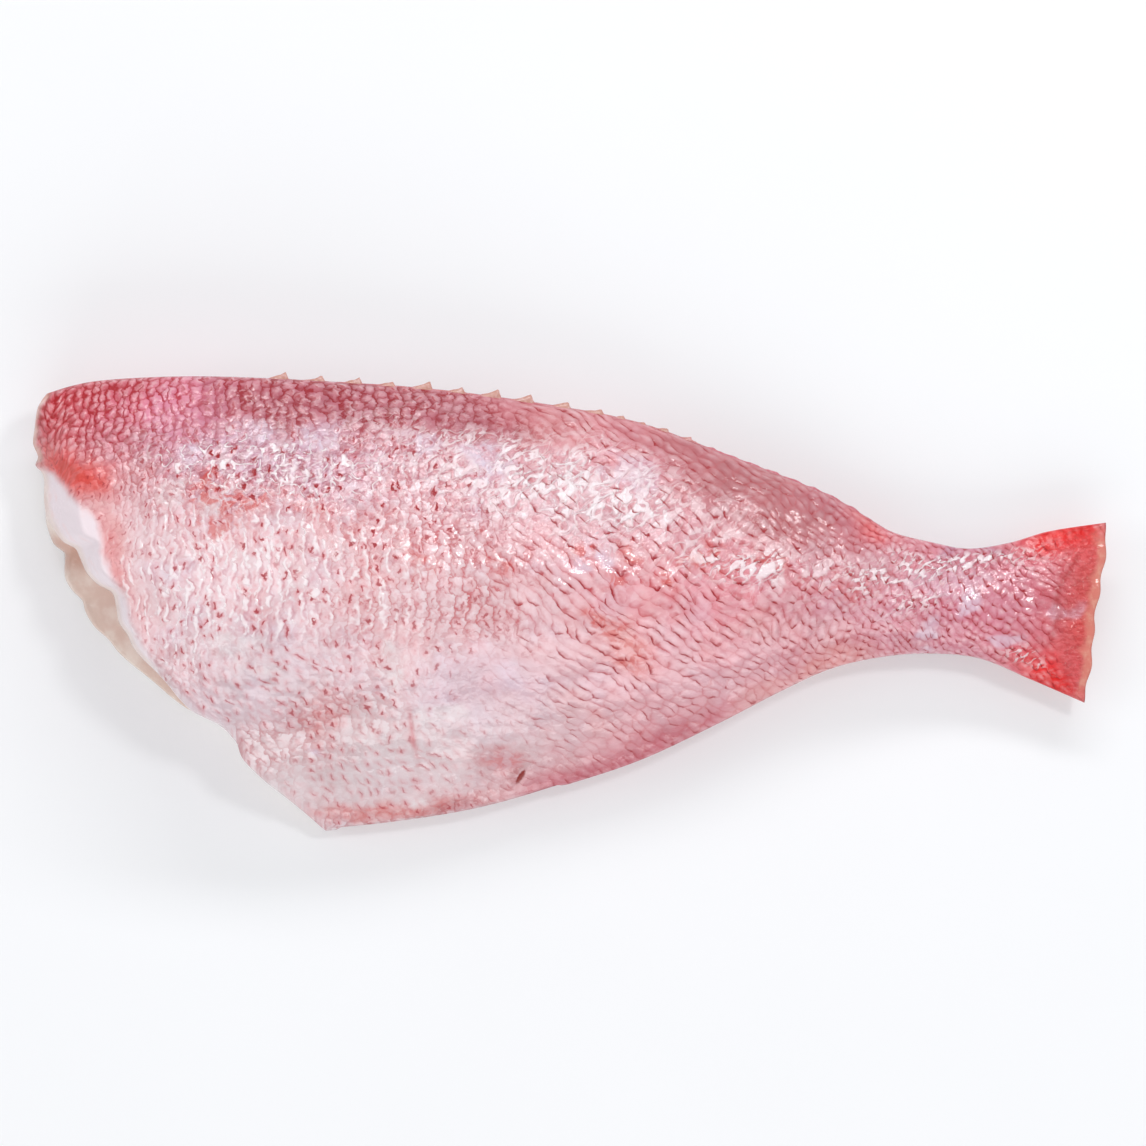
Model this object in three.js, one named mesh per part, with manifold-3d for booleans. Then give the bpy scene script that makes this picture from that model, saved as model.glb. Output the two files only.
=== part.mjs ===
// A dressed rockfish lying on its right side: the head, guts, scales and fins are off, and the trimmed
// tail stays on. It is one solid, lofted from the belly flaps to the tail stump.
// Millimetres, +Z up, +X towards the tail, +Y towards the back. It rests on z = 0.
import * as THREE from "three";
import { mergeVertices } from "three/addons/utils/BufferGeometryUtils.js";
import Module from "manifold-3d";

// Driving dimensions
const BODY_LENGTH = 240; // nape to the upper corner of the tail stump
const BODY_DEPTH = 102; // belly tip to the top of the back
const BODY_THICKNESS = 41; // the resting flank to the crest of the upper flank

// Outlines seen from above, as [percent of BODY_LENGTH from the nape, percent of BODY_DEPTH from the belly tip]
const BACK_LINE = [
  [1.2, 96.3],
  [6.1, 99.0],
  [15.4, 100],
  [26.6, 99.0],
  [37.7, 97.1],
  [48.9, 93.5],
  [56.4, 89.9],
  [63.8, 83.6],
  [71.3, 76.8],
  [75.0, 72.9],
  [78.8, 67.4],
  [80.6, 65.5],
  [83.4, 63.9],
  [87.0, 62.4],
  [90.9, 63.7],
  [94.6, 66.2],
  [99.9, 68.1],
];
const BELLY_LINE = [
  [27.0, 0.2],
  [34.0, 2.0],
  [41.5, 5.0],
  [48.9, 10.0],
  [56.4, 15.9],
  [63.8, 24.1],
  [69.4, 30.9],
  [74.1, 35.9],
  [78.8, 38.5],
  [83.4, 39.3],
  [88.1, 38.2],
  [92.7, 33.8],
  [97.9, 28.5],
];
const HEAD_CUT = [
  [27.0, 0.2],
  [23.8, 7.0],
  [19.5, 15.6],
  [18.5, 20.8],
  [15.8, 25.4],
  [10.9, 33.6],
  [5.3, 46.7],
  [3.0, 57.7],
  [1.1, 69.7],
  [0.5, 78.5],
  [0.0, 85.1],
  [0.1, 92.8],
  [1.2, 96.3],
];
const TAIL_CUT = [
  [97.9, 28.5],
  [98.6, 37.9],
  [98.9, 46.7],
  [99.6, 56.6],
  [100, 63.2],
  [99.9, 68.1],
];
const TAIL_SCALLOP = 0.5; // depth of the waves that the cut fin rays leave
const TAIL_SCALLOPS = 5;

// Heights above the resting plane along the body, as [share of the way to the tail, share of BODY_THICKNESS]
const CREST_HEIGHT = [
  [0, 0.9],
  [0.12, 1],
  [0.3, 0.98],
  [0.5, 0.82],
  [0.65, 0.63],
  [0.8, 0.455],
  [0.9, 0.36],
  [1, 0.285],
];
const BACK_EDGE_HEIGHT = [
  [0, 0.44],
  [0.3, 0.44],
  [0.5, 0.38],
  [0.65, 0.32],
  [0.8, 0.27],
  [1, 0.22],
];
const BELLY_EDGE_HEIGHT = [
  [0, 0.12],
  [0.2, 0.16],
  [0.35, 0.22],
  [0.5, 0.27],
  [0.65, 0.27],
  [0.8, 0.245],
  [1, 0.22],
];
// How far the lower flank would hang below the two edges; the resting plane flattens it
const LOWER_FLANK_DEPTH = [
  [0, 0.5],
  [0.5, 0.46],
  [0.65, 0.33],
  [0.8, 0.18],
  [0.9, 0.1],
  [1, 0.066],
];
const FLATTENING = 1.6; // height over which the lower flank rolls off the resting plane

// Shape of a section: where its crest lies, and how round its two edges are
const CREST_LEAN = [
  [0, 1.3],
  [0.35, 1.35],
  [0.6, 1.15],
  [1, 1],
];
const EDGE_ROUNDNESS = [
  [0, 0.78],
  [0.4, 0.76],
  [0.7, 0.62],
  [1, 0.5],
];
const LOWER_ROUNDNESS = 0.55;

// Belly flaps: two walls that lie on each other, open along the belly line from the flap's tip to the vent
const VENT = 0.25; // share of the belly line
const FLAP_LIP = 2.0; // half the thickness of the closed flaps at their free edge
const FLAP_LIP_REACH = 0.004; // share of the section over which that thickness builds up
const FLAP_GROOVE = 0.05; // depth of the seam between the flaps, as a share of the section
const GROOVE_FADE = 0.06;

// Head cut: the upper wall is cut back behind the lower one, so that a ledge of the gutted cavity's lining shows
// past its bevelled edge, with the narrow mouth of the cavity between them.
// Pairs are [share of the cut's length from the belly tip, millimetres].
const LEDGE_WIDTH = [
  [0.24, 0],
  [0.42, 4.6],
  [0.58, 6.7],
  [0.7, 4.2],
  [0.8, 1],
  [0.88, 0],
];
const BEVEL_WIDTH = [
  [0.38, 2],
  [0.55, 3.6],
  [0.7, 6.5],
  [0.78, 9.5],
  [0.85, 7.5],
  [0.94, 2.5],
];
const BEVEL_DROP = [
  [0.3, 2],
  [0.5, 8],
  [0.75, 14],
  [0.84, 11],
  [0.94, 2.5],
];
const BEVEL_CURVE = 1.3; // 1 is a straight bevel, more rounds its upper rim
const LEDGE_FADE = 8; // how quickly the upper wall's setback dies away towards the tail
const LOWER_WALL = 5; // thickness of the lower wall at the cut
const MOUTH_GAP = 1.6;
const MOUTH_DEPTH = 8;
const MOUTH_FROM = 0.04;
const MOUTH_TO = 0.86;
const MOUTH_FADE = 0.3;
const CUT_ROWS = 6; // facets from the upper wall's edge to the lower wall's edge

// Stubs of the trimmed back fin: first and last place along the back line, and their sizes
const SPINES = 10;
const SPINE_FROM = 0.212;
const SPINE_TO = 0.501;
const SOFT_RAYS = 4;
const SOFT_RAY_FROM = 0.525;
const SOFT_RAY_TO = 0.588;
const STUB_LENGTH = 6.4;
const STUB_HEIGHT = 1.7;
const SOFT_STUB_LENGTH = 4.2;
const SOFT_STUB_HEIGHT = 0.9;
const STUB_ROOT = 2.2; // how deep a stub is set into the back
const STUB_THICKNESS = 1.8;
const STUB_LEAN = 0.86; // share of a stub's length at which its tip stands

// Facets
const STATIONS = 80; // along the body
const STATION_GATHER = 1.25; // gathers stations towards the head cut
const ACROSS = 30; // between the belly edge and the back edge

const SKIN = { color: 0xd9a3a6, roughness: 0.35, metalness: 0 };

const mix = THREE.MathUtils.lerp;
const step = THREE.MathUtils.smoothstep;

// Rises from 0 to 1 and falls back over the given stretch of x, with soft ends.
function hump(x, from, to, soft) {
  return step(x, from, from + soft) * (1 - step(x, to - soft, to));
}

// Smooth curve through [place, value] pairs, level beyond the first and the last.
function through(pairs) {
  const last = pairs.length - 1;
  const slopes = pairs.map((_, i) => {
    const [x0, y0] = pairs[Math.max(i - 1, 0)];
    const [x1, y1] = pairs[Math.min(i + 1, last)];
    return (y1 - y0) / (x1 - x0);
  });
  return (x) => {
    let i = 0;
    while (i < last - 1 && x > pairs[i + 1][0]) i += 1;
    const [x0, y0] = pairs[i];
    const [x1, y1] = pairs[i + 1];
    const span = x1 - x0;
    const t = THREE.MathUtils.clamp((x - x0) / span, 0, 1);
    const s = 1 - t;
    return (
      s * s * (1 + 2 * t) * y0 +
      t * t * (1 + 2 * s) * y1 +
      s * t * span * (s * slopes[i] - t * slopes[i + 1])
    );
  };
}

function outline(percents) {
  return new THREE.SplineCurve(
    percents.map(
      ([along, up]) =>
        new THREE.Vector2(
          (along / 100 - 0.5) * BODY_LENGTH,
          (up / 100 - 0.5) * BODY_DEPTH,
        ),
    ),
  );
}

const backLine = outline(BACK_LINE);
const bellyLine = outline(BELLY_LINE);
const headCut = outline(HEAD_CUT);
const tailCut = outline(TAIL_CUT);
const crestHeight = through(CREST_HEIGHT);
const backEdgeHeight = through(BACK_EDGE_HEIGHT);
const bellyEdgeHeight = through(BELLY_EDGE_HEIGHT);
const lowerFlankDepth = through(LOWER_FLANK_DEPTH);
const crestLean = through(CREST_LEAN);
const edgeRoundness = through(EDGE_ROUNDNESS);
const ledgeWidth = through(LEDGE_WIDTH);
const bevelWidth = through(BEVEL_WIDTH);
const bevelDrop = through(BEVEL_DROP);

function tailPoint(v) {
  const point = tailCut.getPointAt(v);
  point.x -= TAIL_SCALLOP * Math.sin(Math.PI * TAIL_SCALLOPS * v) ** 2;
  return point;
}

// Place seen from above: u runs from the head cut to the tail cut, v from the belly line to the back line.
function plan(u, v) {
  const back = backLine.getPointAt(u);
  const belly = bellyLine.getPointAt(u);
  const head = headCut.getPointAt(v);
  const tail = tailPoint(v);
  const corner = (axis) =>
    mix(
      mix(bellyLine.getPointAt(0)[axis], backLine.getPointAt(0)[axis], v),
      mix(bellyLine.getPointAt(1)[axis], backLine.getPointAt(1)[axis], v),
      u,
    );
  const place = (axis) =>
    mix(belly[axis], back[axis], v) +
    mix(head[axis], tail[axis], u) -
    corner(axis);
  return new THREE.Vector2(place("x"), place("y"));
}

// Height of the two edges, joined straight across the section.
function edgeHeight(u, v) {
  return BODY_THICKNESS * mix(bellyEdgeHeight(u), backEdgeHeight(u), v);
}

// Extra thickness of the belly flaps at their free edge.
function flapLip(u, v) {
  const open = 1 - step(u, VENT - GROOVE_FADE, VENT + GROOVE_FADE);
  return FLAP_LIP * open * (1 - Math.exp(-v / FLAP_LIP_REACH));
}

// Length of the body along v, as measured at the head cut.
function reach(v) {
  const share = 0.02;
  return plan(share, v).distanceTo(plan(0, v)) / share;
}

// Width of the ledge as a share of the body's length.
function setback(v) {
  return Math.max(ledgeWidth(v), 0) / reach(v);
}

// Height that the upper wall loses towards its cut edge.
function bevel(along, v) {
  const inset = ((along - setback(v)) * reach(v)) / bevelWidth(v);
  return bevelDrop(v) * Math.max(1 - inset, 0) ** BEVEL_CURVE;
}

function upperHeight(u, v) {
  const rise = Math.sin(Math.PI * v ** crestLean(u)) ** edgeRoundness(u);
  const edge = edgeHeight(u, v) + flapLip(u, v);
  const flank = mix(edge, BODY_THICKNESS * crestHeight(u), rise);
  return Math.max(flank - bevel(u, v), edge);
}

function lowerHeight(u, v) {
  const hang =
    BODY_THICKNESS *
    lowerFlankDepth(u) *
    Math.sin(Math.PI * v) ** LOWER_ROUNDNESS;
  const free = edgeHeight(u, v) - hang - flapLip(u, v);
  if (free > FLATTENING) return free;
  return free < -FLATTENING ? 0 : (free + FLATTENING) ** 2 / (4 * FLATTENING);
}

function upperPoint(u, v) {
  const along = u + setback(v) * (1 - u) ** LEDGE_FADE;
  const { x, y } = plan(along, v);
  return new THREE.Vector3(x, y, upperHeight(along, v));
}

function lowerPoint(u, v) {
  const { x, y } = plan(u, v);
  return new THREE.Vector3(x, y, lowerHeight(u, v));
}

// Bottom of the seam between the belly flaps; past the vent it lies on the outline.
function bellyEdgePoint(u) {
  const depth = FLAP_GROOVE * hump(u, 0.01, VENT + GROOVE_FADE, GROOVE_FADE);
  const { x, y } = plan(u, depth);
  return new THREE.Vector3(x, y, edgeHeight(u, 0));
}

function backEdgePoint(u) {
  const { x, y } = plan(u, 1);
  return new THREE.Vector3(x, y, edgeHeight(u, 1));
}

// Section of the head cut's face at one place along it, as [inset, height] from the upper wall's edge round the
// cavity's mouth to the lower wall's edge. Towards the nape it closes to a plain cut.
function headFaceSection(v) {
  const top = upperHeight(setback(v), v);
  const bottom = lowerHeight(0, v);
  const ledge = Math.max(ledgeWidth(v), 0);
  const wall = Math.min(LOWER_WALL, (top - bottom) / 2);
  const seam = bottom + wall;
  const gap = Math.min(MOUTH_GAP, wall / 3);
  const depth = ledge + MOUTH_DEPTH * hump(v, MOUTH_FROM, MOUTH_TO, MOUTH_FADE);
  const open = [
    [ledge, top],
    [ledge, mix(seam, top, 0.5)],
    [depth, seam + gap / 2],
    [depth, seam - gap / 2],
    [ledge * 0.9, seam - gap / 2],
    [ledge * 0.1, mix(bottom, seam, 0.7)],
    [0, bottom],
  ];
  const closed = 1 - hump(v, MOUTH_FROM - MOUTH_FADE, MOUTH_TO, MOUTH_FADE);
  return open.map(([inset, height], row) => [
    mix(inset, ledge * (1 - row / CUT_ROWS), closed),
    mix(height, mix(top, bottom, row / CUT_ROWS), closed),
  ]);
}

function headFacePoint(v, row) {
  const [inset, height] = headFaceSection(v)[row];
  const { x, y } = plan(inset / reach(v), v);
  return new THREE.Vector3(x, y, height);
}

// The lofted body as one closed indexed geometry.
function bodyGeometry() {
  const points = [];
  const faces = [];
  const add = (point) => points.push(point.x, point.y, point.z) / 3 - 1;
  const shares = Array.from(
    { length: ACROSS + 1 },
    (_, j) => (1 - Math.cos((Math.PI * j) / ACROSS)) / 2,
  );
  const quad = (a, b, c, d) => faces.push(a, b, c, a, c, d);

  // Rings run over the upper flank from the belly edge to the back edge, and return under the lower flank.
  const ringSize = 2 * ACROSS;
  const rings = Array.from({ length: STATIONS + 1 }, (_, i) => {
    const u = (i / STATIONS) ** STATION_GATHER;
    return Array.from({ length: ringSize }, (__, r) => {
      if (r === 0) return add(bellyEdgePoint(u));
      if (r === ACROSS) return add(backEdgePoint(u));
      return r < ACROSS
        ? add(upperPoint(u, shares[r]))
        : add(lowerPoint(u, shares[ringSize - r]));
    });
  });
  for (let i = 0; i < STATIONS; i += 1) {
    for (let r = 0; r < ringSize; r += 1) {
      const next = (r + 1) % ringSize;
      quad(rings[i][r], rings[i + 1][r], rings[i + 1][next], rings[i][next]);
    }
  }

  // An end face is made of columns between the ring's upper and lower half, pinched at both edges.
  const endFace = (ring, rows, pointAt, outwards) => {
    const columns = shares.map((v, j) => {
      if (j === 0 || j === ACROSS) return Array(rows + 1).fill(ring[j]);
      const inner = Array.from({ length: rows - 1 }, (_, k) =>
        add(pointAt(v, k + 1)),
      );
      return [ring[j], ...inner, ring[ringSize - j]];
    });
    for (let j = 0; j < ACROSS; j += 1) {
      for (let k = 0; k < rows; k += 1) {
        const corners = [
          columns[j][k],
          columns[j + 1][k],
          columns[j + 1][k + 1],
          columns[j][k + 1],
        ];
        if (!outwards) corners.reverse();
        const [a, b, c, d] = corners;
        if (a !== b && b !== c && a !== c) faces.push(a, b, c);
        if (a !== c && c !== d && a !== d) faces.push(a, c, d);
      }
    }
  };
  endFace(rings[0], CUT_ROWS, headFacePoint, true);
  const tailFacePoint = (v) => upperPoint(1, v).lerp(lowerPoint(1, v), 0.5);
  endFace(rings[STATIONS], 2, tailFacePoint, false);

  const geometry = new THREE.BufferGeometry();
  geometry.setAttribute(
    "position",
    new THREE.Float32BufferAttribute(points, 3),
  );
  geometry.setIndex(faces);
  return geometry;
}

// A blade that slopes up towards the tail and drops off behind its tip.
function stubGeometry(place, length, height) {
  const shape = new THREE.Shape();
  shape.moveTo(-length / 2, -STUB_ROOT);
  shape.lineTo(length / 2, -STUB_ROOT);
  shape.lineTo(length / 2, -STUB_ROOT / 4);
  shape.lineTo((STUB_LEAN - 0.5) * length, height);
  shape.lineTo(-length / 2, -STUB_ROOT / 4);
  shape.closePath();
  const geometry = new THREE.ExtrudeGeometry(shape, {
    depth: STUB_THICKNESS,
    bevelEnabled: false,
  });
  const { x, y } = backLine.getPointAt(place);
  const tangent = backLine.getTangentAt(place);
  geometry.rotateZ(Math.atan2(tangent.y, tangent.x));
  geometry.translate(x, y, edgeHeight(place, 1) - STUB_THICKNESS / 2);
  return geometry;
}

function stubGeometries() {
  const row = (count, from, to, length, height) =>
    Array.from({ length: count }, (_, i) =>
      stubGeometry(mix(from, to, i / (count - 1)), length, height),
    );
  return [
    ...row(SPINES, SPINE_FROM, SPINE_TO, STUB_LENGTH, STUB_HEIGHT),
    ...row(
      SOFT_RAYS,
      SOFT_RAY_FROM,
      SOFT_RAY_TO,
      SOFT_STUB_LENGTH,
      SOFT_STUB_HEIGHT,
    ),
  ];
}

const wasm = await Module();
wasm.setup();

function toSolid(geometry) {
  const bare = geometry.clone();
  bare.deleteAttribute("normal");
  bare.deleteAttribute("uv");
  const merged = mergeVertices(bare);
  return new wasm.Manifold(
    new wasm.Mesh({
      numProp: 3,
      vertProperties: merged.attributes.position.array,
      triVerts: new Uint32Array(merged.index.array),
    }),
  );
}

function toGeometry(solid) {
  const { vertProperties, triVerts } = solid.getMesh();
  const geometry = new THREE.BufferGeometry();
  geometry.setAttribute("position", new THREE.BufferAttribute(vertProperties, 3));
  geometry.setIndex(new THREE.BufferAttribute(triVerts, 1));
  geometry.computeVertexNormals();
  return geometry;
}

// The body with its stubs, over the middle of its own footprint.
function fishGeometry() {
  const solid = stubGeometries().reduce(
    (whole, stub) => whole.add(toSolid(stub)),
    toSolid(bodyGeometry()),
  );
  const geometry = toGeometry(solid);
  geometry.computeBoundingBox();
  const middle = geometry.boundingBox.getCenter(new THREE.Vector3());
  geometry.translate(-middle.x, -middle.y, -geometry.boundingBox.min.z);
  return geometry;
}

const fish = new THREE.Mesh(
  fishGeometry(),
  new THREE.MeshStandardMaterial(SKIN),
);
fish.name = "dressed_fish";

const group = new THREE.Group();
group.add(fish);

export default group;
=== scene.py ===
import math

import bpy
import numpy as np
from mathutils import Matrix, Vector


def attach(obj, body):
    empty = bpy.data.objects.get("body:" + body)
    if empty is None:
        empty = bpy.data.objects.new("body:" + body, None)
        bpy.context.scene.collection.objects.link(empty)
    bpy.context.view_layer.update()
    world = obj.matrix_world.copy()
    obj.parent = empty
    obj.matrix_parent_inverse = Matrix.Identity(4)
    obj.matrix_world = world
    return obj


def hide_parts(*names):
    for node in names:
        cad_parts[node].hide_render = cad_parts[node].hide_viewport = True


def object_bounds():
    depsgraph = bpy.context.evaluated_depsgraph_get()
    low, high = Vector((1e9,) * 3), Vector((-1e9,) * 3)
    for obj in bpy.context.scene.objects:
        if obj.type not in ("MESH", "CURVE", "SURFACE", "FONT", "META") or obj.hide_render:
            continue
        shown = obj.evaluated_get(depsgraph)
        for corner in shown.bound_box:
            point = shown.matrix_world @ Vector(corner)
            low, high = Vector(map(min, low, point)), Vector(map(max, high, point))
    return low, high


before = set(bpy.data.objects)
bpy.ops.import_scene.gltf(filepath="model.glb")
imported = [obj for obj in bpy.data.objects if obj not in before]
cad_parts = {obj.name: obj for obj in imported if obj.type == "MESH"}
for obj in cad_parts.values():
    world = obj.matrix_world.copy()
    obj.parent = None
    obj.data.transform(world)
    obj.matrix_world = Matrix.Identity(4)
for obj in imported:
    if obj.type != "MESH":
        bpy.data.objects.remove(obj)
cad_low, cad_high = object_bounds()

MM = 0.001

# Driving dimensions of the body
BODY_LENGTH = 240
BODY_DEPTH = 102
BODY_THICKNESS = 41

# Outlines seen from above: percent of the length from the nape, percent of the depth from the belly tip
BACK_LINE = [
    (1.2, 96.3), (6.1, 99.0), (15.4, 100), (26.6, 99.0), (37.7, 97.1), (48.9, 93.5), (56.4, 89.9),
    (63.8, 83.6), (71.3, 76.8), (75.0, 72.9), (78.8, 67.4), (80.6, 65.5), (83.4, 63.9), (87.0, 62.4),
    (90.9, 63.7), (94.6, 66.2), (99.9, 68.1),
]
BELLY_LINE = [
    (27.0, 0.2), (34.0, 2.0), (41.5, 5.0), (48.9, 10.0), (56.4, 15.9), (63.8, 24.1), (69.4, 30.9),
    (74.1, 35.9), (78.8, 38.5), (83.4, 39.3), (88.1, 38.2), (92.7, 33.8), (97.9, 28.5),
]
HEAD_CUT = [
    (27.0, 0.2), (23.8, 7.0), (19.5, 15.6), (18.5, 20.8), (15.8, 25.4), (10.9, 33.6), (5.3, 46.7),
    (3.0, 57.7), (1.1, 69.7), (0.5, 78.5), (0.0, 85.1), (0.1, 92.8), (1.2, 96.3),
]
TAIL_CUT = [(97.9, 28.5), (98.6, 37.9), (98.9, 46.7), (99.6, 56.6), (100, 63.2), (99.9, 68.1)]
TAIL_SCALLOP = 0.5
TAIL_SCALLOPS = 5

# Heights along the body, as shares of its thickness
CREST_HEIGHT = [
    (0, 0.9), (0.12, 1), (0.3, 0.98), (0.5, 0.82), (0.65, 0.63), (0.8, 0.455), (0.9, 0.36), (1, 0.285),
]
BACK_EDGE_HEIGHT = [(0, 0.44), (0.3, 0.44), (0.5, 0.38), (0.65, 0.32), (0.8, 0.27), (1, 0.22)]
BELLY_EDGE_HEIGHT = [
    (0, 0.12), (0.2, 0.16), (0.35, 0.22), (0.5, 0.27), (0.65, 0.27), (0.8, 0.245), (1, 0.22),
]
LOWER_FLANK_DEPTH = [(0, 0.5), (0.5, 0.46), (0.65, 0.33), (0.8, 0.18), (0.9, 0.1), (1, 0.066)]
FLATTENING = 1.6
CREST_LEAN = [(0, 1.3), (0.35, 1.35), (0.6, 1.15), (1, 1)]
EDGE_ROUNDNESS = [(0, 0.78), (0.4, 0.76), (0.7, 0.62), (1, 0.5)]
LOWER_ROUNDNESS = 0.55

# Belly flaps
VENT = 0.25
FLAP_LIP = 2.0
FLAP_LIP_REACH = 0.004
FLAP_GROOVE = 0.05
GROOVE_FROM = 0.01
GROOVE_FADE = 0.06

# Head cut: share of the cut's length from the belly tip, millimetres
LEDGE_WIDTH = [
    (0.24, 0), (0.42, 4.6), (0.5, 5.9), (0.545, 7.4), (0.59, 9.3), (0.64, 7.6), (0.67, 6.2),
    (0.71, 4.0), (0.8, 1), (0.88, 0),
]
BEVEL_WIDTH = [(0.38, 2), (0.55, 3.6), (0.7, 6.5), (0.78, 9.5), (0.85, 7.5), (0.94, 2.5)]
BEVEL_DROP = [(0.3, 2), (0.5, 8), (0.75, 14), (0.84, 11), (0.94, 2.5)]
# Edge of the skin beside the white flesh: y, x
SKIN_EDGE = [
    (-13.2, -91.5), (-10.5, -93.2), (-6.7, -95.2), (-3.4, -96.7), (1.1, -97.5), (3.8, -99.4),
    (7.8, -101.2), (11.2, -102.6), (14.5, -103.3), (17.9, -104.0), (20.6, -106.1), (23.5, -110.0),
    (26.8, -112.3), (30.2, -115.6),
]
# Jags of the lower wall's edge: y, and how far it stands out
JAGS = [
    (-40, 0), (-35, -0.8), (-29.3, -0.7), (-26.6, -0.8), (-23.9, 1.9), (-21, 1.8), (-18.6, 1.2),
    (-15.9, 1.2), (-13.2, 1.6), (-10.5, 1.6), (-7.8, 1.0), (-5.1, 1.5), (-1.6, 1.0), (1.1, 0.3),
    (2.9, 1.5), (5.6, 2.2), (7.4, 1.8), (9.8, 0.7), (11.6, 0.0), (13.4, 1.6), (16.3, 1.8), (19, 1.6),
    (22, 0.7), (27, -0.8), (29.5, -0.8), (31, 0.2), (33, -1.0), (36, -0.4), (40, -1.0), (45, -1.0),
    (48, -0.4),
]
JAG_FADE = 60
BEVEL_CURVE = 1.3
LEDGE_FADE = 8
# Where the lining is painted darker, as shade at the cavity's mouth: y from, y to, softness
CORNER_SHADE_SPAN = (5, 18, 5)
LOWER_WALL = 5
MOUTH_GAP = 1.6
MOUTH_DEPTH = 8
MOUTH_FROM = 0.04
MOUTH_TO = 0.86
MOUTH_FADE = 0.3
CUT_ROWS = 6
REACH_SHARE = 0.02

# Stubs of the trimmed back fin: first and last place along the back line, number, length, height
SPINES = (0.212, 0.501, 10, 6.4, 1.7)
SOFT_RAYS = (0.525, 0.588, 4, 4.2, 0.9)
STUB_ROOT = 2.2
STUB_THICKNESS = 1.8
STUB_LEAN = 0.86
STUB_CURVE = 1.7
STUB_RANGE = (0.6, 1.0)

# Mesh density
STATIONS = 400
UPPER_ACROSS = 184
LOWER_ACROSS = 46
FACE_ROWS = 12


def blend(a, b, t):
    return a + (b - a) * t


def ramp(x, low, high):
    """Rises smoothly from 0 at low to 1 at high; low may be the larger."""
    t = np.clip((x - low) / (high - low), 0, 1)
    return t * t * (3 - 2 * t)


def hump(x, low, high, soft):
    return ramp(x, low, low + soft) * (1 - ramp(x, high - soft, high))


def through(pairs):
    """Smooth curve through (place, value) pairs, level beyond the first and the last."""
    xs, ys = (np.array(column, float) for column in zip(*pairs))
    last = len(xs) - 1
    before = np.maximum(np.arange(last + 1) - 1, 0)
    after = np.minimum(np.arange(last + 1) + 1, last)
    slopes = (ys[after] - ys[before]) / (xs[after] - xs[before])

    def curve(x):
        x = np.asarray(x, float)
        i = np.clip(np.searchsorted(xs, x) - 1, 0, last - 1)
        span = xs[i + 1] - xs[i]
        t = np.clip((x - xs[i]) / span, 0, 1)
        s = 1 - t
        return (
            s * s * (1 + 2 * t) * ys[i]
            + t * t * (1 + 2 * s) * ys[i + 1]
            + s * t * span * (s * slopes[i] - t * slopes[i + 1])
        )

    return curve


def spline(points, t):
    """Even spline through points, with t from 0 to 1."""
    points = np.asarray(points, float)
    last = len(points) - 1
    place = np.asarray(t, float) * last
    i = np.clip(np.floor(place).astype(int), 0, last - 1)
    w = (place - i)[..., None]
    p0, p1 = points[np.maximum(i - 1, 0)], points[i]
    p2, p3 = points[i + 1], points[np.minimum(i + 2, last)]
    v0, v1 = (p2 - p0) / 2, (p3 - p1) / 2
    return (2 * p1 - 2 * p2 + v0 + v1) * w**3 + (3 * p2 - 3 * p1 - 2 * v0 - v1) * w**2 + v0 * w + p1


OUTLINE_DIVISIONS = 200


def lengths_along(points):
    """Length of a line of points up to each of them."""
    steps = np.linalg.norm(np.diff(points, axis=0), axis=1)
    return np.concatenate([[0], np.cumsum(steps)])


def outline(percents):
    """Outline in millimetres, as a function of the share of its length."""
    points = (np.array(percents, float) / 100 - 0.5) * (BODY_LENGTH, BODY_DEPTH)
    ts = np.linspace(0, 1, OUTLINE_DIVISIONS + 1)
    lengths = lengths_along(spline(points, ts))
    return lambda share: spline(points, np.interp(np.asarray(share) * lengths[-1], lengths, ts))


back_line = outline(BACK_LINE)
belly_line = outline(BELLY_LINE)
head_cut = outline(HEAD_CUT)
tail_cut = outline(TAIL_CUT)
crest_height = through(CREST_HEIGHT)
back_edge_height = through(BACK_EDGE_HEIGHT)
belly_edge_height = through(BELLY_EDGE_HEIGHT)
lower_flank_depth = through(LOWER_FLANK_DEPTH)
crest_lean = through(CREST_LEAN)
edge_roundness = through(EDGE_ROUNDNESS)
ledge_width = through(LEDGE_WIDTH)
bevel_width = through(BEVEL_WIDTH)
bevel_drop = through(BEVEL_DROP)
skin_edge = through(SKIN_EDGE)
jags = through(JAGS)


def plan(u, v):
    """Place seen from above: u from head cut to tail cut, v from belly line to back line."""
    u, v = np.broadcast_arrays(np.asarray(u, float), np.asarray(v, float))
    tail = tail_cut(v)
    tail[..., 0] -= TAIL_SCALLOP * np.sin(math.pi * TAIL_SCALLOPS * v) ** 2
    us, vs = u[..., None], v[..., None]
    corners = blend(*(blend(belly_line(end), back_line(end), vs) for end in (0.0, 1.0)), us)
    head = head_cut(v)
    place = blend(belly_line(u), back_line(u), vs) + blend(head, tail, us) - corners
    place[..., 0] -= jags(head[..., 1]) * np.maximum(1 - u, 0) ** JAG_FADE
    return place


def edge_height(u, v):
    return BODY_THICKNESS * blend(belly_edge_height(u), back_edge_height(u), v)


def flap_lip(u, v):
    open_share = 1 - ramp(u, VENT - GROOVE_FADE, VENT + GROOVE_FADE)
    return FLAP_LIP * open_share * (1 - np.exp(-v / FLAP_LIP_REACH))


def reach(v):
    """Length of the body along v, as measured at the head cut."""
    return np.linalg.norm(plan(REACH_SHARE, v) - plan(0, v), axis=-1) / REACH_SHARE


def ledge(v):
    return np.maximum(ledge_width(v), 0)


def inset_from_cut(along, v):
    """Millimetres from the upper wall's cut edge."""
    return along * reach(v) - ledge(v)


def upper_height(along, v):
    rise = np.abs(np.sin(math.pi * v ** crest_lean(along))) ** edge_roundness(along)
    edge = edge_height(along, v) + flap_lip(along, v)
    flank = blend(edge, BODY_THICKNESS * crest_height(along), rise)
    bevel = bevel_drop(v) * np.maximum(1 - inset_from_cut(along, v) / bevel_width(v), 0) ** BEVEL_CURVE
    return np.maximum(flank - bevel, edge)


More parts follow.
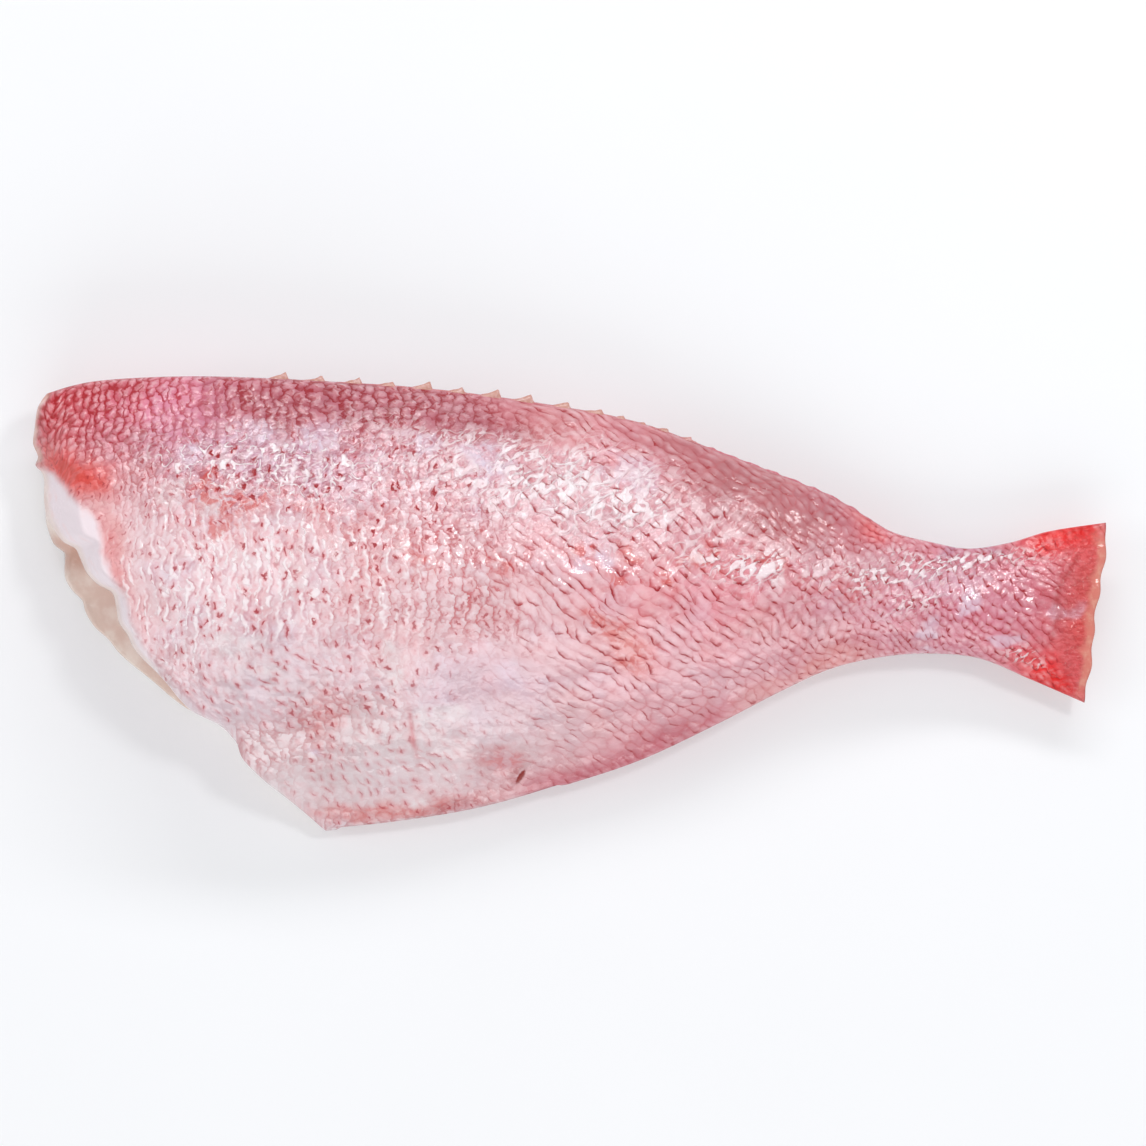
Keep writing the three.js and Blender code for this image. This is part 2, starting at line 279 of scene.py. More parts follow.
def lower_height(u, v):
    hang = BODY_THICKNESS * lower_flank_depth(u) * np.abs(np.sin(math.pi * v)) ** LOWER_ROUNDNESS
    free = edge_height(u, v) - hang - flap_lip(u, v)
    rolled = np.maximum(free + FLATTENING, 0) ** 2 / (4 * FLATTENING)
    return np.where(free > FLATTENING, free, rolled)


def lift(place, height):
    return np.concatenate([place, np.broadcast_to(height, place.shape[:-1])[..., None]], axis=-1)


def upper_along(u, v):
    return u + ledge(v) / reach(v) * (1 - u) ** LEDGE_FADE


def belly_edge(u):
    depth = FLAP_GROOVE * hump(u, GROOVE_FROM, VENT + GROOVE_FADE, GROOVE_FADE)
    return lift(plan(u, depth), edge_height(u, 0.0))


def head_face(v, rows):
    """Points of the head cut's face from the upper edge, round the cavity's mouth, to the lower edge."""
    top = upper_height(ledge(v) / reach(v), v)
    bottom = lower_height(np.zeros_like(v), v)
    shelf = ledge(v)
    wall = np.minimum(LOWER_WALL, (top - bottom) / 2)
    seam = bottom + wall
    half_gap = np.minimum(MOUTH_GAP, wall / 3) / 2
    depth = shelf + MOUTH_DEPTH * hump(v, MOUTH_FROM, MOUTH_TO, MOUTH_FADE)
    inset = [shelf, shelf, depth, depth, shelf * 0.9, shelf * 0.1, shelf * 0]
    roof, ground = seam + half_gap, seam - half_gap
    height = [top, blend(seam, top, 0.5), roof, ground, ground, blend(bottom, seam, 0.7), bottom]
    section = np.stack([np.stack(inset), np.stack(height)], axis=-1)
    share = np.linspace(0, 1, CUT_ROWS + 1)[:, None]
    plain = np.stack([shelf * (1 - share), blend(top, bottom, share)], axis=-1)
    closed = 1 - hump(v, MOUTH_FROM - MOUTH_FADE, MOUTH_TO, MOUTH_FADE)
    section = blend(section, plain, closed[None, :, None])
    section = spline(section.reshape(CUT_ROWS + 1, -1), np.linspace(0, 1, rows + 1))
    section = section.reshape(rows + 1, -1, 2)
    return lift(plan(section[..., 0] / reach(v), v), section[..., 1])


NOISE_TABLE = 64


def drift(x, y, span, seed):
    """Soft seeded noise from -1 to 1 with bumps about span millimetres wide."""
    table = np.random.default_rng(seed).uniform(-1, 1, (NOISE_TABLE, NOISE_TABLE))
    p, q = x / span, y / span
    i, j = np.floor(p).astype(int), np.floor(q).astype(int)
    f, g = p - i, q - j
    f, g = f * f * (3 - 2 * f), g * g * (3 - 2 * g)
    at = lambda a, b: table[a % NOISE_TABLE, b % NOISE_TABLE]
    return blend(blend(at(i, j), at(i + 1, j), f), blend(at(i, j + 1), at(i + 1, j + 1), f), g)


def wander(x, y, waves):
    """Sum of soft noises, each given as its strength, the width of its bumps and its seed."""
    return sum(strength * drift(x, y, span, seed) for strength, span, seed in waves)


def stacked(*values):
    return np.stack(np.broadcast_arrays(*values), axis=-1)


def soft_patch(x, y, place):
    """1 in the middle of an oval patch, falling off to 0 outside it."""
    cx, cy, half_length, half_width, turn = place
    c, s = math.cos(math.radians(turn)), math.sin(math.radians(turn))
    a = ((x - cx) * c + (y - cy) * s) / half_length
    b = ((y - cy) * c - (x - cx) * s) / half_width
    return 1 / (1 + (a * a + b * b) ** 2)


def linear(red, green, blue):
    """A colour as it is seen, 0 to 255, as linear light."""
    seen = np.array([red, green, blue]) / 255
    return np.where(seen <= 0.04045, seen / 12.92, ((seen + 0.055) / 1.055) ** 2.4)


# Colours of the fish
PALE_PINK = linear(240, 219, 224)
PINK = linear(230, 152, 162)
ROSE = linear(198, 106, 120)
DEEP_ROSE = linear(178, 86, 102)
CRIMSON = linear(200, 46, 60)
TAIL_RED = linear(206, 68, 62)
MAUVE = linear(232, 142, 172)
PALE_MAUVE = linear(209, 176, 199)
DUSTY = linear(178, 106, 110)
PLUM = linear(170, 96, 112)
LAVENDER = linear(219, 207, 225)
PALE_LILAC = linear(229, 192, 201)
STALK_PINK = linear(205, 128, 149)
# Mauve-grey painted shade for the tail stalk's upper edge
STALK_EDGE_SHADE = linear(172, 132, 158)
SALMON = linear(228, 150, 146)
BLUSH = linear(230, 132, 132)
ORANGE_RED = linear(238, 54, 26)
BRIGHT_RED = linear(226, 20, 18)
GREY_CREAM = linear(224, 207, 210)
LILAC_GREY = linear(215, 192, 200)
CHALK = linear(232, 222, 224)
STUB_TAN = linear(200, 144, 130)
BROWN = linear(150, 105, 95)

# Soft patches of skin colour: colour, strength, (x, y, half length, half width, turn)
PATCHES = [
    (CRIMSON, 0.9, (-105, 43.5, 19, 8, 0)),
    (MAUVE, 0.9, (-86, 43.5, 13, 6.5, 0)),
    (CRIMSON, 0.95, (-116, 39, 6, 10, 0)),
    (PALE_PINK, 0.85, (-93, 21, 14, 5.5, -14)),
    (PALE_PINK, 0.8, (-97, 4, 6, 14, 18)),
    (PALE_MAUVE, 0.5, (-23, -20, 15, 9, 10)),
    (PALE_LILAC, 0.7, (67, 10, 10, 3, -8)),
    (PALE_PINK, 0.8, (-107, 22.5, 5, 2.4, -35)),
    (ORANGE_RED, 1.0, (-110, 29.4, 8, 3.6, -22)),
    (SALMON, 0.6, (-118, 29.5, 2.5, 2.5, 0)),
    (BROWN, 0.8, (-119.2, 32.6, 1.4, 0.9, 0)),
    (SALMON, 0.6, (-101, 13, 14, 4, -66)),
    (PALE_MAUVE, 0.85, (-66, 33, 25, 7, -4)),
    (DEEP_ROSE, 0.9, (-42, 43.5, 28, 5.6, -3)),
    (DEEP_ROSE, 0.6, (-70, 44, 14, 5.5, 0)),
    (PLUM, 0.35, (-27, 40.5, 14, 3.6, -8)),
    (SALMON, 0.35, (-4, 40, 12, 4.5, -10)),
    (PALE_LILAC, 0.8, (0, 24.5, 34, 7.5, -14)),
    (DEEP_ROSE, 0.6, (-24, 40, 14, 4.5, -8)),
    (PALE_PINK, 0.95, (-28, 3, 22, 7, -6)),
    (PALE_PINK, 0.6, (-45, 4, 9, 14, 0)),
    (DUSTY, 0.85, (43, 24.5, 26, 9.5, -27)),
    (PLUM, 0.3, (58, 21, 8, 3.2, -27)),
    (ORANGE_RED, 0.5, (68, 18, 5, 2, -28)),
    (SALMON, 0.6, (6.4, -3.4, 5.5, 2.6, -36)),
    (SALMON, 0.6, (12, -9.5, 5, 3, -36)),
    (SALMON, 0.55, (-55, -25, 7, 5, 20)),
    (SALMON, 0.15, (-46, 4.5, 4, 12, -14)),
    (GREY_CREAM, 0.8, (-40, -34, 36, 11, 10)),
    (LILAC_GREY, 0.75, (-68, -16, 22, 9, 10)),
    (GREY_CREAM, 0.5, (-43, -26, 6, 8, 0)),
    (LILAC_GREY, 0.6, (-73, -23, 14, 4, -24)),
    (GREY_CREAM, 0.8, (-65, -36.5, 10, 6, -42)),
    (BROWN, 0.4, (-12.5, -37.5, 2.6, 1.6, 40)),
    (ROSE, 0.8, (2, -39.5, 16, 2.4, 17)),
    (ROSE, 0.75, (22, -30, 10, 4.2, 24)),
    (SALMON, 0.6, (44, -20, 17, 2.8, 26)),
    (SALMON, 0.8, (58, -14.5, 8, 3, 20)),
    (PALE_LILAC, 0.45, (33, -17, 20, 6.5, 24)),
    (DUSTY, 0.22, (50, -5, 15, 7, 0)),
    (STALK_PINK, 0.85, (94, 0, 22, 14, 0)),
    # Painted shade along the top edge of the tail stalk
    (STALK_EDGE_SHADE, 0.7, (89, 12.5, 7, 1.5, 4)),
    (TAIL_RED, 0.9, (116.5, -1, 11, 20, 0)),
    (BRIGHT_RED, 1.0, (110.5, 16, 11, 4.2, 8)),
    (BRIGHT_RED, 1.0, (107.5, -17, 10.5, 4.4, -32)),
    (SALMON, 0.55, (-40, -45, 17, 2.0, 5)),
    (CRIMSON, 0.6, (-35.3, -28, 5, 0.55, -80)),
    (ROSE, 0.5, (-16.5, -35, 4, 3, 10)),
    (DUSTY, 0.55, (-29, -45.2, 9, 1.5, 6)),
]
# Smooth patches where the outer skin is whole and hides the scale pockets
SMOOTH_PATCHES = [
    (LAVENDER, 0.6, (-70, 38.5, 5, 3, 0)),
    (LAVENDER, 0.6, (-56, 37, 6, 3, 10)),
    (LAVENDER, 0.65, (-85, 33.5, 3, 3, 0)),
    (LAVENDER, 0.6, (-33, 34.5, 4, 2.4, 0)),
    (LAVENDER, 0.6, (-18, 31, 6, 3, -10)),
    (LAVENDER, 0.4, (12, 30, 6, 3, -20)),
    (LAVENDER, 0.6, (2, 11, 3, 2, 0)),
    (LAVENDER, 0.3, (84, 5, 8, 4, 0)),
    (LAVENDER, 0.35, (111.5, 0.4, 2.4, 2.6, 0)),
    (LAVENDER, 0.35, (107.6, -1.4, 1.6, 2.4, -20)),
    (LAVENDER, 0.6, (79.3, -6.7, 2.6, 3.2, -20)),
    (LAVENDER, 0.6, (89.6, -0.4, 2.8, 2.4, 0)),
    (LAVENDER, 0.55, (97.4, -7.8, 4, 1.8, 0)),
    (CHALK, 0.6, (-39.5, -13.5, 2.4, 4.6, 8)),
    (CHALK, 0.6, (-29.5, -23.5, 6.5, 3.2, 10)),
    (CHALK, 0.5, (-72, -10, 6, 3, 0)),
    (CHALK, 0.6, (-88, 26, 3.4, 2.6, 20)),
    (CHALK, 0.6, (-79, 23, 3.4, 2.2, 10)),
    (LAVENDER, 0.7, (-57, -32.5, 2, 0.9, -35)),
    (CHALK, 0.8, (-34.3, -42.3, 2.4, 1.4, 10)),
    (LAVENDER, 0.7, (6.4, 11, 2.2, 1.6, -30)),
    (LAVENDER, 0.6, (-21, 29, 3, 2.4, 0)),
]

# Places on the skin: x, y, half length, half width, turn
NAPE = (-104, 42, 25, 11.5, 0)
STAIN = (-110.5, 29, 7.5, 3.2, -22)
PALE_FLANK = (-20, -18, 16, 8, 10)
CUT_SIDE = (-99, 8, 9, 20, 18)
FORE_FLANK = (-70, 4, 30, 24, 0)
FORE_SHINE = (-66, 31, 26, 7, -4)
MID_SHINE = (-3, 27, 30, 9, -14)
REAR_SHINE = (38, 8.7, 11, 4, -14)
STREAKS = (-43, 4, 9, 14, 0)
LOWER_FORE = (-70, -18, 22, 8, 20)
BELLY = (-38, -36, 42, 11, 10)
LOWER_REAR = (26, -23, 36, 9, 22)
PLAIN_BACK = (48, 27, 30, 8, -27)
STALK = (96, 0, 26, 18, 0)
STALK_SHINE = (79, 9.2, 20, 3.6, 7)
TAIL = (114, 0, 7, 24, 0)

# Strength of each kind of mark: a value over all, then values in soft patches of the skin
GROOVES = (1.25, [
    (0.15, FORE_FLANK), (1.5, NAPE), (0.85, (-83, 42, 9, 8, 0)), (0.25, STREAKS), (0.05, LOWER_FORE),
    (0.05, BELLY), (0.3, LOWER_REAR), (0.5, PLAIN_BACK), (1.25, STALK), (0.1, TAIL), (0.1, PALE_FLANK),
    (0.12, CUT_SIDE), (0.35, STAIN), (0.15, (-32, -16, 14, 10, 0)), (0.55, MID_SHINE),
    (0.5, FORE_SHINE),
])
PITS = (1.2, [
    (0.95, FORE_FLANK), (0.1, NAPE), (1.5, FORE_SHINE), (1.0, LOWER_FORE), (0.75, BELLY),
    (0.8, LOWER_REAR), (0.65, PLAIN_BACK), (1.35, STALK), (0.0, TAIL), (0.4, PALE_FLANK),
    (0.5, CUT_SIDE), (1.2, MID_SHINE), (0.5, (-45, 43, 34, 6, -3)), (0.6, (-30, 3, 12, 7, 0)),
    (0.4, (-68, -36, 10, 6, -42)),
])
THREADS = (0.0, [
    (0.95, FORE_FLANK), (0.8, STREAKS), (0.0, NAPE), (0.6, FORE_SHINE), (0.7, MID_SHINE),
    (0.1, LOWER_FORE), (0.0, BELLY),
])
# Wet film: real crumpled relief, and white flake-shaped painted highlights
FILM_AND_HIGHLIGHT = (0.04, [
    (0.35, FORE_SHINE), (1.0, MID_SHINE), (1.0, REAR_SHINE), (1.4, STALK_SHINE),
    (0.8, (78, 0.5, 6, 2, 10)), (0.8, (101, -12, 4, 1.6, -24)), (0.15, (-60, 8, 30, 10, 0)),
    (0.0, PLAIN_BACK), (0.0, TAIL),
])
HOLLOW = (0.0, [
    (1.0, FORE_FLANK), (1.0, FORE_SHINE), (0.5, MID_SHINE), (0.0, NAPE), (0.3, STREAKS),
    (0.1, LOWER_FORE), (0.0, BELLY),
])
SQUIGGLES = (0.0, [(1.0, FORE_SHINE), (0.4, (-30, 26, 10, 6, -10))])
RAYS = (0.0, [(1.0, TAIL)])
SLANT = (0.0, [(1.0, LOWER_FORE), (1.0, BELLY)])
VEINS = (0.0, [
    (0.9, (-43, 5, 12, 16, 0)), (0.8, (-22, 2, 10, 12, -20)), (0.5, (-99, 14, 10, 5, -60)),
    (0.0, BELLY), (0.45, LOWER_REAR), (0.4, PLAIN_BACK),
])
DRY = (0.0, [
    (0.75, NAPE), (0.9, STAIN), (0.7, TAIL), (0.9, (109, 17, 11, 5, 8)), (0.9, (106, -18, 11, 5, -32)),
    (0.0, STALK_SHINE),
])
BLOOD = (0.0, [
    (0.8, (-110, 29.2, 7, 2.6, -20)), (0.9, (-80, 25.5, 4, 2.4, 0)), (1.0, (-70, 23.5, 7, 2.2, -6)),
    (0.7, (-76.4, 19, 6, 2.4, -8)), (0.5, (-56, 22.5, 5, 2, 0)), (0.45, (-47, 19, 4, 2.2, 0)),
    (0.7, (-34, 10, 2.4, 3.4, 20)), (0.2, (-43, 4, 8, 12, 0)), (0.9, (-15, 9.6, 3, 1.6, -30)),
    (0.9, (2.3, 13.4, 2, 1.6, 0)), (1.0, (12.6, 11.2, 2.6, 1.8, -30)), (0.8, (9, 6.7, 3.4, 1.4, -36)),
    (0.9, (22, 6, 2.4, 1.4, -36)), (0.9, (29, 10, 4, 2.2, -20)), (0.8, (43, 8.5, 4, 2, 0)),
    (0.3, (60, 4, 10, 3, 0)), (0.8, (6, -4, 5, 3, -36)), (0.6, (13, -10, 5, 3, -36)),
    (0.3, (-55, -25, 7, 5, 20)), (0.15, (-20, 0, 7, 10, -20)), (0.4, (-16, -35, 4, 3, 0)),
    (0.4, (-40, -45, 16, 1.8, 5)),
])
RELIEF = (0.13, [
    (0.3, FORE_FLANK), (0.3, FORE_SHINE), (0.24, NAPE), (0.1, STAIN), (0.06, PALE_FLANK),
    (0.12, CUT_SIDE), (0.1, BELLY), (0.1, LOWER_REAR), (0.14, PLAIN_BACK), (0.05, STALK), (0.05, TAIL),
])

# Scale pockets stand in upright columns on the fore part and in slanted rows on the rear part
COLUMN_WIDTH = [(-120, 1.75), (-98, 2.05), (-60, 2.75), (120, 2.75)]
COLUMN_PAD = [(-120, 2.1), (-98, 2.5), (-60, 3.15), (120, 3.15)]
COLUMN_JITTER = 0.6
ROW_JITTER = 0.7
ROW_WIDTH = [(-120, 2.6), (20, 2.35), (70, 2.05), (120, 1.8)]
ROW_PAD = [(-120, 1.9), (40, 1.8), (90, 1.3), (120, 1.3)]
ROW_SLOPE = math.radians(41)
TURN_FROM, TURN_TO = -36, 6
CREST_SHARE = 0.6
UNDERSIDE_SHIFT = 147.3
LATTICE_REACH = 130
LATTICE_STEPS = 1040

# Soft noises: strength, width of the bumps, seed
LATTICE_WANDER_X = [(1.2, 10, 1), (0.5, 3.6, 2)]
LATTICE_WANDER_Y = [(1.8, 11, 3), (0.6, 4.1, 4)]
PATCH_WANDER_X = [(2.4, 8, 11), (1.1, 3, 12)]
PATCH_WANDER_Y = [(2.4, 8, 13), (1.1, 3, 14)]
THIN_WANDER_X = [(0.5, 3, 12)]
THIN_WANDER_Y = [(0.5, 3, 14)]
BAND_WANDER = [(0.05, 14, 15), (0.02, 4, 16)]
MOTTLE = [(0.06, 5, 17), (0.05, 1.8, 18)]
TURN_WANDER = [(7, 10, 19)]
SWELL = [(0.25, 7, 20), (0.2, 3.2, 21)]
RAGGED_ALONG = [(0.6, 3.1, 22)]
RAGGED_ACROSS = [(0.4, 1.5, 23)]
COOL = [(1, 7, 24), (0.5, 3, 25)]
WARM = [(1, 6, 26), (0.5, 2.6, 27)]
BELLY_ROSE_WANDER = [(0.03, 4, 28)]


def stretched(x, widths):
    """Number of widths that fit between the first place and x."""
    xs = np.linspace(-LATTICE_REACH, LATTICE_REACH, LATTICE_STEPS + 1)
    counts = np.concatenate([[0], np.cumsum((xs[1] - xs[0]) / through(widths)(xs[1:]))])
    return np.interp(x, xs, counts)


def scale_rows(x, girth):
    """Row and pad counts of the column lattice and of the slanted lattice."""
    wx = x + wander(x, girth, LATTICE_WANDER_X)
    wg = girth + wander(x, girth, LATTICE_WANDER_Y)
    columns = stretched(wx, COLUMN_WIDTH), wg / through(COLUMN_PAD)(x)
    widest = ROW_WIDTH[0][1]
    finer = widest / through(ROW_WIDTH)(x)
    ax, ag = stretched(wx, ROW_WIDTH) * widest, wg * finer
    across = (ax * math.sin(ROW_SLOPE) + ag * math.cos(ROW_SLOPE)) / widest
    along = (ax * math.cos(ROW_SLOPE) - ag * math.sin(ROW_SLOPE)) / (widest * through(ROW_PAD)(x))
    return columns, (across, along)


WORD = 0xFFFFFFFF
HASH_START = 0xDEADBEEF
HASH_TURNS = (14, 11, 25, 16, 4, 14, 24)


def chance(*keys):
    """Chance from 0 to 1 that is always the same for the same whole-number keys, as in a cell texture."""
    start = np.uint32((HASH_START + (len(keys) << 2) + 13) & WORD)
    mixed = [np.full(np.shape(keys[0]), start, np.uint32) for _ in range(3)]
    for n, key in enumerate(keys):
        mixed[n] = mixed[n] + np.asarray(key, np.float32).view(np.uint32)
    a, b, c = mixed
    for turn in HASH_TURNS:
        c = (c ^ b) - ((b << np.uint32(turn)) | (b >> np.uint32(32 - turn)))
        a, b, c = b, c, a
    return b / WORD


# Relief of the cells, with heights as lowest and highest
RIM_WIDTH = 0.25
CELL_TOPS = (0.65, 1.15)
CELL_RIMS = (0.5, 1.2)
ROW_TOPS = (0.7, 1.1)
PAD_LEAN = 0.3
PAD_END_DROP = 0.6
SAME_PLACE = 1e-6
FAR = 9


def cell_relief(row, pad, hollow, jitter):
    """Height of an irregular lattice's cells: raised pads, or hollows between raised rims."""
    i, j = np.floor(row), np.floor(pad)
    places = []
    for di in (-1, 0, 1):
        for dj in (-1, 0, 1):
            ci, cj = i + di + 0.0, j + dj + 0.0
            px = ci + jitter * chance(ci, cj) - row
            py = cj + jitter * chance(ci, cj, np.ones_like(ci)) - pad
            places.append((px, py, chance(ci, cj, np.full_like(ci, 2))))
    px, py, tall = (np.stack(values) for values in zip(*places))
    nearest = np.argmin(px * px + py * py, axis=0)[None]
    nx, ny, tall = (np.take_along_axis(values, nearest, 0)[0] for values in (px, py, tall))
    dx, dy = px - nx, py - ny
    gap = np.hypot(dx, dy)
    middle = ((px + nx) * dx + (py + ny) * dy) / (2 * np.maximum(gap, SAME_PLACE))
    edge = np.where(gap > SAME_PLACE, middle, FAR).min(0)
    rim = np.exp(-((edge / RIM_WIDTH) ** 2))
    return blend((1 - rim) * blend(*CELL_TOPS, tall), rim * blend(*CELL_RIMS, tall), hollow)


def row_relief(row, pad):
    """Height of the slanted lattice's long pads."""
    i = np.floor(row)
    f = row - i
    place = pad + chance(i) + PAD_LEAN * (f - 0.5)
    j = np.floor(place)
    g = place - j
    dome = (1 - (2 * f - 1) ** 2) * (1 - PAD_END_DROP * np.abs(2 * g - 1) ** 4)
    return dome * blend(*ROW_TOPS, chance(i, j))


# Skin colour along the body, in millimetres from its middle, and across it, as shares up to the back
PINK_FROM_TO = (-44, 32)
ROSE_BACK = 0.95
ROSE_BAND = (0.7, 0.96)
ROSE_SHIFT = 0.1
ROSE_SHIFT_FROM_TO = (-25, 5)
REAR_PINK = 0.3
REAR_FROM_TO = (15, 60)
DUSTY_BELLY = 0.2
DUSTY_BAND = (0.25, 0.02)
COOL_SHARES = (0.5, 0.25)
COOL_FROM_TO = (-20, 20)
COOL_BAND = (0.9, 0.7)
WARM_SHARE = 0.3
BELLY_ROSE = 0.85
BELLY_ROSE_BAND = (0.1, 0)
BELLY_ROSE_SPAN = (-16, 40, 10)
THIN_PATCH = 1
RAGGED_FROM_TO = (0.15, 0.9)

# Marks along the back, and how smooth patches and the body's edges calm the marks
BACK_BAND = (0.78, 0.95)
BACK_GROOVES = 0.8
BACK_GROOVES_TO = (40, 10)
BACK_PITS = 0.4
BACK_PITS_FROM, BACK_PITS_TO = (-95, -80), (20, -10)
FILM_BAND = (0.97, 0.9)
SMOOTH_COVER = 0.6
SMOOTH_FILM_COVER = 0.5
PALE_FLANK_CALM = 0.6
BELLY_FADE, BACK_FADE = (0, 0.02), (1, 0.985)
ROW_PAD_HEIGHT, ROW_CELL_HEIGHT = 0.3, 0.4


class Skin:
    """Colours and strengths of the skin's marks at every point of one flank."""

    def __init__(self, v, points, girth, shift):
        x, y = points[..., 0], points[..., 1]
        self.v, self.x, self.y, self.girth = v, x, y, girth
        self.wx = x + wander(x, girth, PATCH_WANDER_X)
        self.wy = y + wander(x, girth, PATCH_WANDER_Y)
        self.wv = v + wander(x, girth, BAND_WANDER)
        self.tint, smooth = self.colours()
        field = self.field
        (self.column, self.column_pad), (self.row, self.row_pad) = scale_rows(x, girth + shift)
        self.turn = ramp(x + wander(x, girth, TURN_WANDER), TURN_FROM, TURN_TO)
        self.plane = stacked(x, girth + shift, field(RAYS))
        back = ramp(self.wv, *BACK_BAND)
        whole = 1 - SMOOTH_COVER * smooth
        back_grooves = BACK_GROOVES * back * ramp(self.wx, *BACK_GROOVES_TO)
        back_pits = BACK_PITS * back * ramp(self.wx, *BACK_PITS_TO) * ramp(self.wx, *BACK_PITS_FROM)
        self.groove = np.maximum(field(GROOVES), back_grooves) * whole
        self.pit = np.maximum(field(PITS), back_pits) * whole
        self.thread = field(THREADS) * whole * (1 - back)
        self.film_and_highlight = field(FILM_AND_HIGHLIGHT) * (1 - SMOOTH_FILM_COVER * smooth) * ramp(self.wv, *FILM_BAND)
        self.slant, self.blood, self.hollow = field(SLANT), field(BLOOD), field(HOLLOW)
        self.vein, self.squiggle, self.dry = field(VEINS), field(SQUIGGLES), field(DRY)
        cells = cell_relief(self.column, self.column_pad, self.hollow, COLUMN_JITTER)
        pads = ROW_PAD_HEIGHT * row_relief(self.row, self.row_pad)
        pads = pads + ROW_CELL_HEIGHT * cell_relief(self.row, self.row_pad, 0.0, ROW_JITTER)
        swell = wander(x, girth, SWELL) * (1 - PALE_FLANK_CALM * soft_patch(x, y, PALE_FLANK))
        fade = ramp(v, *BELLY_FADE) * ramp(v, *BACK_FADE)
        self.relief = (field(RELIEF) * blend(cells, pads, self.turn) * whole + swell) * fade

    def field(self, values):
        """Strength of one kind of mark."""
        total = np.full_like(self.x, values[0])
        for value, place in values[1]:
            total = blend(total, value, soft_patch(self.wx, self.wy, place))
        return total

    def colours(self):
        """Colour of the skin, and how smooth it is."""
        x, girth, wx, wv = self.x, self.girth, self.wx, self.wv
        cool, warm = (np.maximum(wander(x, girth, waves), 0) for waves in (COOL, WARM))
        layers = [
            (PINK, ramp(wx, *PINK_FROM_TO)),
            (ROSE, ROSE_BACK * ramp(wv - ROSE_SHIFT * ramp(x, *ROSE_SHIFT_FROM_TO), *ROSE_BAND)),
            (STALK_PINK, REAR_PINK * ramp(wx, *REAR_FROM_TO)),
            (DUSTY, DUSTY_BELLY * ramp(wv, *DUSTY_BAND)),
            (LAVENDER, blend(*COOL_SHARES, ramp(x, *COOL_FROM_TO)) * cool * ramp(wv, *COOL_BAND)),
            (SALMON, WARM_SHARE * warm),
        ]
        nx, ny = x + wander(x, girth, THIN_WANDER_X), self.y + wander(x, girth, THIN_WANDER_Y)

        def patch(place):
            thin = min(place[2:4]) < THIN_PATCH
            return soft_patch(nx, ny, place) if thin else soft_patch(wx, self.wy, place)

        for colour, strength, place in PATCHES:
            layers.append((colour, strength * patch(place)))
        ragged = 1 + wander(x, girth, RAGGED_ALONG) + wander(girth, x, RAGGED_ACROSS)
        smooth = np.zeros_like(x)
        for colour, strength, place in SMOOTH_PATCHES:
            share = strength * ramp(patch(place) * ragged, *RAGGED_FROM_TO)
            smooth = np.maximum(smooth, share)
            layers.append((colour, share))
        edge = self.v + wander(x, girth, BELLY_ROSE_WANDER)
        layers.append((ROSE, BELLY_ROSE * ramp(edge, *BELLY_ROSE_BAND) * hump(x, *BELLY_ROSE_SPAN)))
        tint = PALE_PINK
        for colour, share in layers:
            tint = blend(tint, colour, share[..., None])
        return tint * (1 + wander(x, girth, MOTTLE))[..., None], smooth


def normals_of(points):
    along = np.gradient(points, axis=0)
    across = np.gradient(points, axis=1)
    normal = np.cross(along, across)
    return normal / np.maximum(np.linalg.norm(normal, axis=-1, keepdims=True), 1e-9)


def girth_of(points, v):
    """Place across the body, measured over the skin from the crest and counted from the middle line."""
    steps = np.linalg.norm(np.diff(points[..., 1:], axis=1), axis=-1)
    lengths = np.concatenate([np.zeros((len(points), 1)), np.cumsum(steps, axis=1)], axis=1)
    crest = np.argmin(np.abs(v - CREST_SHARE))
    return lengths - lengths[:, crest:crest + 1] + points[:, crest:crest + 1, 1]


EVEN_STATION = 0.35
EVEN_STEPS = 4000


def even_shares(count):
    """Shares across a middle section that lie evenly over its skin."""
    fine = np.linspace(0, 1, EVEN_STEPS + 1)
    section = lift(plan(EVEN_STATION, fine), upper_height(np.full_like(fine, EVEN_STATION), fine))
    lengths = lengths_along(section)
    return np.interp(np.linspace(0, lengths[-1], count + 1), lengths, fine)


